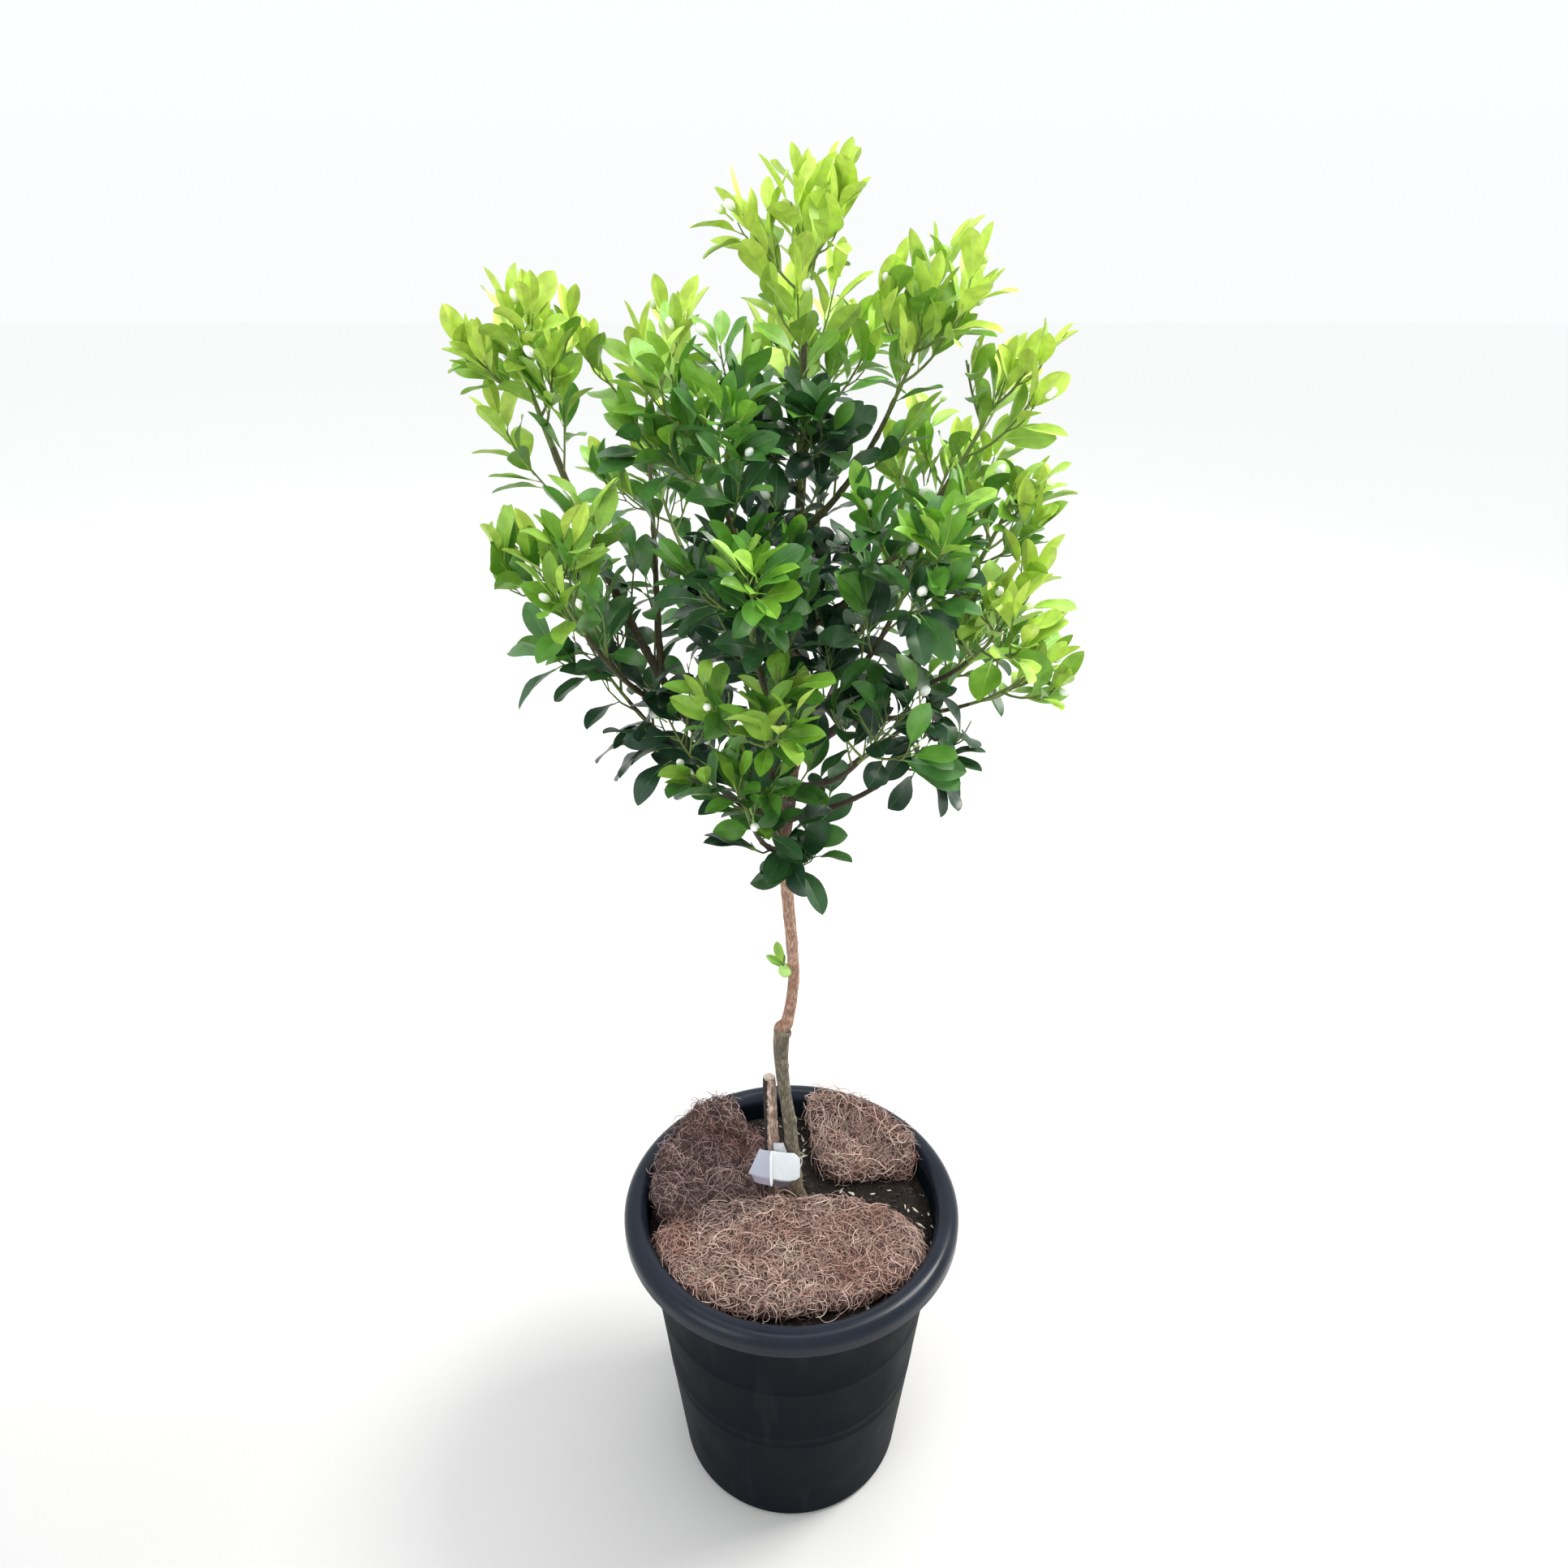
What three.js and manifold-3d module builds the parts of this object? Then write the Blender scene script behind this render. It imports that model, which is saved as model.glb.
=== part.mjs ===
// A young citrus tree grown as a standard: one bare stem with a loose round head of small leaves,
// planted in a black nursery pot under torn coir mulch mats. Millimetres, +Z up.
// The origin is the centre of the pot's flat underside. -Y is the tree's front and +X its right.
import * as THREE from "three";
import { mergeVertices } from "three/addons/utils/BufferGeometryUtils.js";
import Module from "manifold-3d";

const wasm = await Module();
wasm.setup();

// ---------------------------------------------------------------- driving dimensions

const UP = new THREE.Vector3(0, 0, 1);
const GAP = 0.3; // between solids that touch
const SHORTEST_EDGE = 0.02;

const pot = {
  rimRadius: 180,
  height: 365,
  baseRadius: 126,
  shoulderRadius: 158, // outside of the wall, just under the rim
  shoulderDrop: 22, // from the rim's top to there
  wall: 2.4,
  floor: 3,
  footRound: 9,
  lipDrop: 10, // how far the rolled rim hangs below its own centre
  sides: 32,
};

const soilTop = 338;

const mat = { thickness: 19, sides: 20, curlsFrom: 112, clearOfWall: 3 };

// Height, sideways and backward place of the stem's centre, and its radius. The rootstock ends in a
// cut shoulder at 578, and the grafted top goes on beside it.
const trunkStations = [
  [soilTop + GAP, 4, 22, 12],
  [350, 4, 22, 9.6],
  [375, 3, 21, 8.2],
  [410, 1, 20, 7.5],
  [450, -2, 19, 6.8],
  [490, -7, 18, 6.5],
  [530, -11, 18, 7],
  [560, -11, 18, 8],
  [577, -10, 18, 8.3],
  [580, -6, 18, 6.4],
  [606, -1, 18, 5.6],
  [640, 2, 17, 5.6],
  [690, -1, 16, 5.7],
  [740, -5, 15, 5.9],
  [790, -9, 12, 6.6],
  [850, -3, 9, 6],
  [905, 3, 6, 5.6],
  [950, 5, 2, 5.1],
  [1010, 5, -1, 4.6],
  [1080, 3, -4, 4],
  [1150, 7, -4, 3.4],
  [1235, 6, -2, 2.6],
];

const stump = { foot: [-19, 25], top: [-23.5, 23], topHeight: 508, footRadius: 10.5, topRadius: 6.8 };

// Each bough leaves the trunk, or the bough that it grows on, at a height, and its tip stands at a turn
// about the pot's axis (degrees from +X towards +Y), a reach from that axis and a height. size is about
// half the height of its foliage.
const boughs = [
  { name: "left_main", leaves: 800, turn: 177, reach: 188, height: 1150, radius: 4.8, size: 74 },
  { name: "left_inner", on: "left_main", leaves: 960, turn: 162, reach: 122, height: 1138, radius: 3, size: 76 },
  { name: "left_front", on: "left_main", leaves: 925, turn: -152, reach: 178, height: 1030, radius: 3, size: 72 },
  { name: "left_low", on: "left_main", leaves: 868, turn: -177, reach: 140, height: 945, radius: 3, size: 64 },
  { name: "left_foot", leaves: 816, turn: -158, reach: 84, height: 892, radius: 3, size: 54 },
  { name: "front_foot", leaves: 788, turn: -116, reach: 78, height: 858, radius: 3.2, size: 58 },
  { name: "front_low", leaves: 838, turn: -99, reach: 124, height: 945, radius: 3.4, size: 60 },
  { name: "front_low_right", leaves: 858, turn: -63, reach: 110, height: 930, radius: 3, size: 58 },
  { name: "right_foot", leaves: 822, turn: -20, reach: 92, height: 888, radius: 3.2, size: 58 },
  { name: "right_low_back", leaves: 842, turn: 24, reach: 138, height: 918, radius: 3.2, size: 62 },
  { name: "right_main", leaves: 885, turn: 1, reach: 142, height: 1048, radius: 4.6, size: 72 },
  { name: "right_low", on: "right_main", leaves: 920, turn: -9, reach: 148, height: 948, radius: 2.8, size: 62 },
  { name: "right_front", on: "right_main", leaves: 950, turn: -34, reach: 158, height: 1010, radius: 2.8, size: 64 },
  { name: "front_right", leaves: 925, turn: -58, reach: 130, height: 1050, radius: 3.4, size: 68 },
  { name: "front_mid", leaves: 895, turn: -103, reach: 134, height: 1040, radius: 3.2, size: 66 },
  { name: "front_main", leaves: 975, turn: -116, reach: 112, height: 1130, radius: 3.6, size: 74 },
  { name: "right_upper", leaves: 1000, turn: 3, reach: 126, height: 1132, radius: 3.6, size: 76 },
  { name: "right_shoulder", leaves: 1085, turn: -12, reach: 76, height: 1190, radius: 3, size: 68 },
  { name: "back_main", leaves: 985, turn: 76, reach: 112, height: 1140, radius: 3.6, size: 78 },
  { name: "back_left", leaves: 905, turn: 128, reach: 166, height: 1040, radius: 3.8, size: 76 },
  { name: "back_right", leaves: 940, turn: 47, reach: 166, height: 1050, radius: 3.8, size: 76 },
  { name: "back_low", leaves: 828, turn: 112, reach: 112, height: 905, radius: 3.4, size: 66 },
  { name: "back_low_right", leaves: 872, turn: 68, reach: 138, height: 940, radius: 3.2, size: 64 },
];

// Foliage that stands on the trunk itself, with no bough of its own.
const trunkShoots = [
  { name: "foot_shoot", leaves: 778, turn: -72, rise: 0.7, size: 46 },
  { name: "heart", leaves: 1015, turn: -165, rise: 0.6, size: 62 },
  { name: "leader_front", leaves: 1120, turn: -96, rise: 1.1, size: 62 },
];
const crownTop = { name: "top", size: 76 };
const sprout = { name: "stem_sprout", leaves: 642, turn: -165, rise: 0.9, size: 20, shoots: 1, leafScale: 0.6 };

const leaf = {
  length: 64,
  width: 0.48, // of the length
  widest: 0.6, // along the length
  thickest: 0.16, // along the length
  thickness: 0.03, // of the length
  fold: 0.07, // how far the sides stand above the midrib, of the length
  droop: 0.1, // how far the tip hangs below a straight midrib
};
const TWIG_SIDES = 3;
// The radius of each ring of a twig. A shoot's first ring lies hidden in the heart of its stem.
const twig = { stemRadii: [3.2, 2.6, 1.9], shootRadii: [1.1, 1.8, 1.5] };
const rule = {
  shoots: 5, // with the stem itself
  stemLength: 1.08, // of the foliage's size, as are the next two
  shootLength: 0.88,
  middle: 0.72, // from the stem's foot to the middle of the foliage
  shootsFrom: 0.16, // where shoots leave the stem, as shares of its length
  shootsOver: 0.66,
  shorten: 0.35, // how much shorter the last shoot is than the first
  shootAngle: 0.95, // radians away from the stem
  lift: 0.75, // how strongly a shoot turns upward
  leavesPerShoot: 4,
  leavesFrom: 0.34, // where a shoot's leaves start and end, as shares of its length
  leavesTo: 0.95,
  leafSpread: [1.05, 0.5], // radians away from the shoot, at its foot and at its tip
  leafScale: [1.02, 0.84], // at a shoot's foot and at its tip
  clearOfLimb: 3,
  clearOfLeaf: 4.5,
  tries: 8,
  shootShares: [1, 0.85, 0.7, 0.55], // the lengths tried for a shoot
};
const bud = { length: 13, radius: 4.6, every: 4 };
const fruit = { radius: 7, fromTrunk: 12 };

// ---------------------------------------------------------------- solids

const solidOf = (geometry) => {
  const bare = geometry.index ? geometry.toNonIndexed() : geometry.clone();
  bare.deleteAttribute("normal");
  bare.deleteAttribute("uv");
  const merged = mergeVertices(bare, 1e-4);
  return new wasm.Manifold(
    new wasm.Mesh({
      numProp: 3,
      vertProperties: merged.attributes.position.array,
      triVerts: new Uint32Array(merged.index.array),
    }),
  );
};

const geometryOf = (solid) => {
  const { numProp, numVert, vertProperties, triVerts } = solid.getMesh();
  const places = new Float32Array(numVert * 3);
  for (let i = 0; i < numVert; i++) {
    places.set(vertProperties.subarray(i * numProp, i * numProp + 3), i * 3);
  }
  const geometry = new THREE.BufferGeometry()
    .setAttribute("position", new THREE.BufferAttribute(places, 3))
    .setIndex(new THREE.BufferAttribute(triVerts, 1));
  geometry.computeVertexNormals();
  return geometry;
};

// The largest piece of a solid, without its shortest edges: loose scraps that a cut leaves are dropped.
const mainPiece = (solid) =>
  solid
    .simplify(SHORTEST_EDGE)
    .decompose()
    .reduce((best, piece) => (piece.volume() > best.volume() ? piece : best));

// A closed tube through rings of points, the first and last closed with a fan.
function tubeThrough(rings) {
  const sides = rings[0].length;
  const places = rings.flat().flatMap((p) => [p.x, p.y, p.z]);
  const faces = [];
  for (let k = 0; k + 1 < rings.length; k++) {
    for (let i = 0; i < sides; i++) {
      const a = k * sides + i;
      const b = k * sides + ((i + 1) % sides);
      faces.push(a, b, b + sides, a, b + sides, a + sides);
    }
  }
  const last = (rings.length - 1) * sides;
  for (let i = 1; i + 1 < sides; i++) {
    faces.push(0, i + 1, i, last, last + i, last + i + 1);
  }
  return new THREE.BufferGeometry()
    .setAttribute("position", new THREE.Float32BufferAttribute(places, 3))
    .setIndex(faces);
}

// The rings of a tapering limb along a path of { place, radius }, each square to the path.
function ringsAlong(path, sides, extra = 0) {
  const frame = new THREE.Quaternion();
  const before = new THREE.Vector3(0, 0, 1);
  return path.map(({ place, radius }, k) => {
    const ahead = path[Math.min(k + 1, path.length - 1)].place;
    const behind = path[Math.max(k - 1, 0)].place;
    const along = ahead.clone().sub(behind).normalize();
    frame.premultiply(new THREE.Quaternion().setFromUnitVectors(before, along));
    before.copy(along);
    return Array.from({ length: sides }, (_, i) => {
      const angle = (2 * Math.PI * i) / sides;
      return new THREE.Vector3(Math.cos(angle), Math.sin(angle), 0)
        .applyQuaternion(frame)
        .multiplyScalar(radius + extra)
        .add(place);
    });
  });
}

const limbSolid = (path, sides, extra = 0) => solidOf(tubeThrough(ringsAlong(path, sides, extra)));

// ---------------------------------------------------------------- limbs

const trunkPath = trunkStations.map(([z, x, y, radius]) => ({ place: new THREE.Vector3(x, y, z), radius }));

// The point of a rising path at a height.
function atHeight(path, height) {
  const k = Math.max(1, path.findIndex(({ place }) => place.z >= height));
  const [low, high] = [path[k - 1].place, path[k].place];
  return low.clone().lerp(high, (height - low.z) / (high.z - low.z));
}

const outward = (turn) => {
  const angle = THREE.MathUtils.degToRad(turn);
  return new THREE.Vector3(Math.cos(angle), Math.sin(angle), 0);
};

const BOUGH_STEPS = 4;
const TIP_SHARE = 0.55; // a bough's tip radius, of its root's
// Where a bough bends: this share of its run outward, and this share of its rise.
const BEND = { outward: 0.62, up: 0.36 };

// A bough leaves its parent's heart low and wide, and turns upward to its tip.
function boughPath(bough, parentPath) {
  const root = atHeight(parentPath, bough.leaves);
  const tip = outward(bough.turn).multiplyScalar(bough.reach).setZ(bough.height);
  const bend = root.clone().lerp(tip, BEND.outward);
  bend.z = THREE.MathUtils.lerp(root.z, tip.z, BEND.up);
  const curve = new THREE.QuadraticBezierCurve3(root, bend, tip);
  return Array.from({ length: BOUGH_STEPS + 1 }, (_, k) => {
    const share = k / BOUGH_STEPS;
    return { place: curve.getPoint(share), radius: bough.radius * (1 - (1 - TIP_SHARE) * share) };
  });
}

const paths = { trunk: trunkPath };
for (const bough of boughs) {
  paths[bough.name] = boughPath(bough, paths[bough.on ?? "trunk"]);
}

// Every straight stretch of every limb, for keeping twigs and leaves clear of them.
const limbStretches = Object.values(paths).flatMap((path) =>
  path.slice(1).map((end, k) => ({ line: new THREE.Line3(path[k].place, end.place), radius: path[k].radius })),
);
const spot = new THREE.Vector3();
const distanceToLine = (point, line) => line.closestPointToPoint(point, true, spot).distanceTo(point);

// ---------------------------------------------------------------- foliage

// A small seeded generator, so that the tree grows the same way each time.
function seededDraws(seed) {
  let state = seed * 7919 + 101;
  const draw = () => {
    state = (state * 48271) % 2147483647;
    return state / 2147483647;
  };
  draw();
  return (low, high) => low + (high - low) * draw();
}

// Where each mass of foliage starts, which way it sets off, the middle of the space it keeps to, and the
// limbs close to it.
function foliageStart({ name, size, shoots = rule.shoots, leafScale = 1 }, place, heading, cut) {
  const middle = place.clone().addScaledVector(heading, rule.middle * size);
  const near = limbStretches.filter(({ line }) => distanceToLine(middle, line) < 2.5 * size);
  return { name, size, shoots, leafScale, place, heading, cut, middle, near };
}

// Past the flat tip of a limb, in line with it.
function beyondTip(path) {
  const [before, { place }] = path.slice(-2);
  const heading = place.clone().sub(before.place).normalize();
  return { place: place.clone().addScaledVector(heading, GAP), heading };
}

const masses = [
  ...boughs.map((bough) => {
    const { place, heading } = beyondTip(paths[bough.name]);
    return foliageStart(bough, place, heading, false);
  }),
  ...[...trunkShoots, sprout].map((shoot) => {
    const heading = outward(shoot.turn).addScaledVector(UP, shoot.rise).normalize();
    return foliageStart(shoot, atHeight(trunkPath, shoot.leaves), heading, true);
  }),
  foliageStart(crownTop, beyondTip(trunkPath).place, UP, false),
];

// True if every point lies in a mass's own space: nearer to its middle than to any other's, by the
// size of each, and clear of every limb.
function fits(mass, points, fromOthers, fromLimbs) {
  const power = (m, p) => p.distanceToSquared(m.middle) - m.size * m.size;
  const inside = (p, other) =>
    other === mass ||
    (power(other, p) - power(mass, p)) / (2 * other.middle.distanceTo(mass.middle)) > fromOthers;
  return points.every(
    (p) =>
      masses.every((other) => inside(p, other)) &&
      mass.near.every(({ line, radius }) => distanceToLine(p, line) > radius + fromLimbs),
  );
}

const twigCurve = (start, heading, length) => {
  const end = heading.clone().addScaledVector(UP, rule.lift).normalize();
  const bend = start.clone().addScaledVector(heading, 0.5 * length);
  return new THREE.QuadraticBezierCurve3(start, bend, bend.clone().addScaledVector(end, 0.5 * length));
};

// A three-sided twig through a curve, with the radius of each of its rings. Its heart runs straight from
// ring to ring.
function makeTwig(curve, radii) {
  const path = radii.map((radius, k) => ({ place: curve.getPoint(k / (radii.length - 1)), radius }));
  return { curve, path, rings: ringsAlong(path, TWIG_SIDES) };
}

function heartOf({ path }, share) {
  const along = share * (path.length - 1);
  const k = Math.min(Math.floor(along), path.length - 2);
  return path[k].place.clone().lerp(path[k + 1].place, along - k);
}

// The way out of a twig through the middle of one of its faces, turned a little to one side.
function throughFace({ curve, path, rings }, share, face, turn) {
  const k = Math.round(share * (rings.length - 1));
  const [a, b] = [rings[k][face % TWIG_SIDES], rings[k][(face + 1) % TWIG_SIDES]];
  const out = a.clone().add(b).multiplyScalar(0.5).sub(path[k].place);
  return out.normalize().applyAxisAngle(curve.getTangent(share), turn);
}

// A heading that leans away from one direction towards another by an angle.
const leaning = (along, out, angle) =>
  along.clone().multiplyScalar(Math.cos(angle)).addScaledVector(out, Math.sin(angle)).normalize();

// The six corners of an obovate leaf folded along its midrib: base, tip, two sides, and the midrib's
// upper and lower face. It sets off along a heading, with its upper face towards facing.
function leafCorners(base, heading, facing, length) {
  const across = new THREE.Vector3().crossVectors(facing, heading).normalize();
  const above = new THREE.Vector3().crossVectors(heading, across).normalize();
  const at = (along, side, up) =>
    base
      .clone()
      .addScaledVector(heading, along * length)
      .addScaledVector(across, side * length)
      .addScaledVector(above, up * length);
  const half = leaf.thickness / 2;
  return [
    at(0, 0, 0),
    at(1, 0, -leaf.droop),
    at(leaf.widest, leaf.width / 2, leaf.fold),
    at(leaf.widest, -leaf.width / 2, leaf.fold),
    at(leaf.thickest, 0, half),
    at(leaf.thickest, 0, -half),
  ];
}

const LEAF_FACES = [0, 4, 2, 4, 1, 2, 0, 3, 4, 4, 3, 1, 0, 2, 5, 5, 2, 1, 0, 5, 3, 5, 1, 3];

const leafSolid = (corners) =>
  solidOf(
    new THREE.BufferGeometry()
      .setAttribute("position", new THREE.Float32BufferAttribute(corners.flatMap((c) => [c.x, c.y, c.z]), 3))
      .setIndex(LEAF_FACES),
  );

// Points spread over a leaf, close enough together that no limb passes between them.
const leafPoints = ([base, tip, left, right]) =>
  [0, 0.25, 0.5, 0.75, 1].flatMap((across) => {
    const side = left.clone().lerp(right, across);
    const near = [0.3, 0.55, 0.8].map((share) => base.clone().lerp(side, share));
    return [...near, side, side.clone().lerp(tip, 0.5), tip];
  });

// The solids of one shoot's leaves, set on its sides in turn and more upright towards its tip. A leaf
// that would run into a limb, a neighbour or the next mass is tried on the next side, then skipped.
function shootLeaves(mass, shoot, taken, draw) {
  const found = [];
  let face = Math.floor(draw(0, TWIG_SIDES));
  for (let k = 0; k < rule.leavesPerShoot; k++) {
    const share = THREE.MathUtils.lerp(rule.leavesFrom, rule.leavesTo, k / (rule.leavesPerShoot - 1));
    const place = heartOf(shoot, share);
    const along = shoot.curve.getTangent(share);
    const spread = THREE.MathUtils.lerp(...rule.leafSpread, share) + draw(-0.12, 0.12);
    const scale = THREE.MathUtils.lerp(...rule.leafScale, share) * draw(0.9, 1.06);
    const length = mass.leafScale * leaf.length * scale;
    for (let attempt = 0; attempt < rule.tries; attempt++) {
      face += 1;
      const heading = leaning(along, throughFace(shoot, share, face, draw(-0.35, 0.35)), spread);
      const corners = leafCorners(place, heading, along, length);
      const points = leafPoints(corners);
      if (points.some((p) => taken.some((other) => p.distanceTo(other) < rule.clearOfLeaf))) continue;
      if (!fits(mass, points, 2 * GAP, rule.clearOfLimb)) continue;
      taken.push(...points);
      found.push(leafSolid(corners));
      break;
    }
  }
  return found;
}

// A closed flower bud at a shoot's tip: a drawn-out octahedron.
function budSolid(place, heading) {
  const shape = new THREE.OctahedronGeometry(1).scale(bud.radius, bud.radius, bud.length / 2);
  shape.applyQuaternion(new THREE.Quaternion().setFromUnitVectors(UP, heading));
  const middle = place.clone().addScaledVector(heading, 0.25 * bud.length);
  return solidOf(shape.translate(middle.x, middle.y, middle.z));
}

// The longest of a few lengths of a shoot that keeps to its mass's space, if one does.
const shootCurve = (mass, start, heading, length) =>
  rule.shootShares
    .map((share) => twigCurve(start, heading, share * length))
    .find((curve) => fits(mass, curve.getPoints(8).slice(1), twig.shootRadii[1] + GAP, rule.clearOfLimb));

// The solids of one mass: a stem, the shoots that leave it on its sides in turn, their leaves and buds.
function growFoliage(mass, index) {
  const draw = seededDraws(index + 1);
  const stemCurve = twigCurve(mass.place, mass.heading, rule.stemLength * mass.size);
  const stem = makeTwig(stemCurve, twig.stemRadii);
  const twigs = [stem];
  const firstFace = Math.floor(draw(0, TWIG_SIDES));
  for (let k = 0; k + 1 < mass.shoots; k++) {
    const share = rule.shootsFrom + (rule.shootsOver * k) / (mass.shoots - 1) + draw(-0.03, 0.03);
    const out = throughFace(stem, share, firstFace + k, draw(-0.4, 0.4));
    const heading = leaning(stemCurve.getTangent(share), out, rule.shootAngle);
    const length = rule.shootLength * mass.size * (1 - rule.shorten * share) * draw(0.9, 1.1);
    const curve = shootCurve(mass, heartOf(stem, share), heading, length);
    if (curve) twigs.push(makeTwig(curve, twig.shootRadii));
  }
  const taken = twigs.flatMap(({ curve }) => curve.getPoints(8));
  const leaves = twigs.flatMap((shoot) => shootLeaves(mass, shoot, taken, draw));
  const buds = twigs
    .filter((_, k) => (k + index) % bud.every === 0)
    .filter(({ curve }) => fits(mass, [curve.getPoint(1)], bud.length, bud.length))
    .map(({ curve }) => budSolid(curve.getPoint(1), curve.getTangent(1)));
  return [...twigs.map(({ rings }) => solidOf(tubeThrough(rings))), ...leaves, ...buds];
}

// A small green fruit on the sprout, close to the trunk.
const fruitSolid = ({ place, heading }) => {
  const middle = place.clone().addScaledVector(heading, fruit.fromTrunk);
  return solidOf(new THREE.IcosahedronGeometry(fruit.radius, 0).translate(...middle.toArray()));
};

// ---------------------------------------------------------------- pot, soil and mulch

const rollRadius = (pot.rimRadius - pot.shoulderRadius + pot.wall) / 2;
const rollCentre = [pot.rimRadius - rollRadius, pot.height - rollRadius];
const insideFoot = pot.baseRadius - 2 * pot.wall;

// The radius of the wall's outside and inside at a height.
const outsideAt = (z) =>
  THREE.MathUtils.mapLinear(z, 0, pot.height - pot.shoulderDrop, pot.baseRadius, pot.shoulderRadius);
const insideAt = (z) =>
  THREE.MathUtils.mapLinear(z, pot.floor, rollCentre[1], insideFoot, rollCentre[0] - rollRadius);

// The pot's section from the inside of its floor, up the wall, round the rolled rim and down outside.
function potSection() {
  const arc = (radius, from, to, steps) =>
    Array.from({ length: steps + 1 }, (_, k) => {
      const angle = THREE.MathUtils.lerp(from, to, k / steps);
      return [rollCentre[0] + radius * Math.cos(angle), rollCentre[1] + radius * Math.sin(angle)];
    });
  const underRim = rollCentre[1] - pot.lipDrop;
  return [
    [0, pot.floor],
    [insideFoot, pot.floor],
    ...arc(rollRadius, Math.PI, 0, 5),
    [pot.rimRadius, underRim],
    [pot.rimRadius - pot.wall, underRim],
    ...arc(rollRadius - pot.wall, 0, Math.PI, 4),
    [outsideAt(underRim), underRim],
    [outsideAt(pot.footRound), pot.footRound],
    [pot.baseRadius - 0.3 * pot.footRound, 0.3 * pot.footRound],
    [pot.baseRadius - pot.footRound, 0],
    [0, 0],
  ];
}

// A solid turned about the pot's axis from a section of [radius, height] points.
function turned(section) {
  const points = section.map(([radius, z]) => new THREE.Vector2(radius, z)).reverse();
  return solidOf(new THREE.LatheGeometry(points, pot.sides).rotateX(Math.PI / 2));
}

const soilRadius = insideAt(soilTop) - 2 * GAP;
const soilSection = [
  [0, soilTop],
  [soilRadius, soilTop],
  [insideFoot - 2 * GAP, pot.floor + GAP],
  [0, pot.floor + GAP],
];

// Torn pieces of coir mat on the soil. Each outline is a circle squashed across one direction, with a
// few waves in it, and curl lifts the part that leans on the pot's wall.
const mats = [
  { name: "front", centre: [-6, -62], long: 140, short: 78, turn: 3, waves: 0.02, phase: 0.4, curl: 2 },
  { name: "left", centre: [-92, 64], long: 90, short: 60, turn: 110, waves: 0.05, phase: 2.1, curl: 20 },
  { name: "back", centre: [84, 104], long: 74, short: 60, turn: 125, waves: 0.04, phase: 4, curl: 24 },
];

// The rings of a mat from the middle of its underside to the middle of its top: shares of its outline
// and of its thickness.
const matRings = [
  [0.02, 0],
  [0.97, 0],
  [1, 0.22],
  [0.9, 0.94],
  [0.5, 1],
  [0.1, 1],
];

// One ring of a mat. A mat stands higher where it curls up the pot's wall.
function matRing({ centre, long, short, turn, waves, phase, curl }, share, rise, extra = 0) {
  const tilt = THREE.MathUtils.degToRad(turn);
  const most = soilRadius - mat.clearOfWall;
  return Array.from({ length: mat.sides }, (_, i) => {
    const angle = (2 * Math.PI * i) / mat.sides;
    const round = (long * short) / Math.hypot(short * Math.cos(angle - tilt), long * Math.sin(angle - tilt));
    const wave = waves * Math.sin(3 * angle + phase) + 0.5 * waves * Math.sin(7 * angle + 2 * phase);
    const reach = round * (1 + wave) * share + extra;
    const place = new THREE.Vector3(Math.cos(angle), Math.sin(angle), 0).multiplyScalar(reach);
    place.x += centre[0];
    place.y += centre[1];
    place.clampLength(0, most + extra);
    const lean = THREE.MathUtils.smoothstep(place.length(), mat.curlsFrom, most);
    return place.setZ(soilTop + GAP + rise * (mat.thickness + curl * lean));
  });
}

const matSolid = (piece) => solidOf(tubeThrough(matRings.map(([share, rise]) => matRing(piece, share, rise))));

// All that stands over a mat's outline, for cutting its neighbours clear of it.
const overMat = (piece) => solidOf(tubeThrough([-1, 3].map((rise) => matRing(piece, 1, rise, 2 * GAP))));

// A bare white plastic label: two flaps folded forward from a band that loops round both stems.
const label = { height: 34, flap: 25, thickness: 1, fold: 35, lean: 10, foot: 386 };
const band = { middle: [-10.5, 23], across: 22, deep: 15, height: 6, above: 9 };

function labelSolid() {
  const front = band.middle[1] - band.deep - label.thickness / 2;
  const flap = (side) =>
    new THREE.BoxGeometry(label.flap, label.thickness, label.height)
      .translate((side * label.flap) / 2, 0, label.height / 2)
      .rotateZ(THREE.MathUtils.degToRad(-side * label.fold))
      .rotateX(THREE.MathUtils.degToRad(-label.lean))
      .translate(band.middle[0], front, label.foot);
  const outer = [band.across + label.thickness, band.deep + label.thickness];
  const ring = new THREE.Shape().absellipse(...band.middle, ...outer, 0, 2 * Math.PI);
  ring.holes.push(new THREE.Path().absellipse(...band.middle, band.across, band.deep, 0, 2 * Math.PI, true));
  const loop = new THREE.ExtrudeGeometry(ring, { depth: band.height, bevelEnabled: false, curveSegments: 6 });
  loop.translate(0, 0, label.foot + band.above);
  return solidOf(flap(-1)).add(solidOf(flap(1))).add(solidOf(loop));
}

// ---------------------------------------------------------------- assembly

const finishes = {
  pot: { color: 0x23272c, roughness: 0.45 },
  soil: { color: 0x2a221c, roughness: 0.95 },
  coir: { color: 0x9a7560, roughness: 0.95 },
  bark: { color: 0x8f7662, roughness: 0.85 },
  leaf: { color: 0x4f8f2b, roughness: 0.45 },
  label: { color: 0xdfe6ea, roughness: 0.4 },
};
const materials = {};
for (const [name, look] of Object.entries(finishes)) {
  materials[name] = new THREE.MeshStandardMaterial({ ...look, metalness: 0 });
}

const tree = new THREE.Group();
tree.name = "standard_citrus_tree";

function addPiece(name, solid, finish) {
  const mesh = new THREE.Mesh(geometryOf(mainPiece(solid)), materials[finish]);
  mesh.name = name;
  tree.add(mesh);
}

addPiece("pot", turned(potSection()), "pot");
addPiece("potting_mix", turned(soilSection), "soil");

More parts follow.
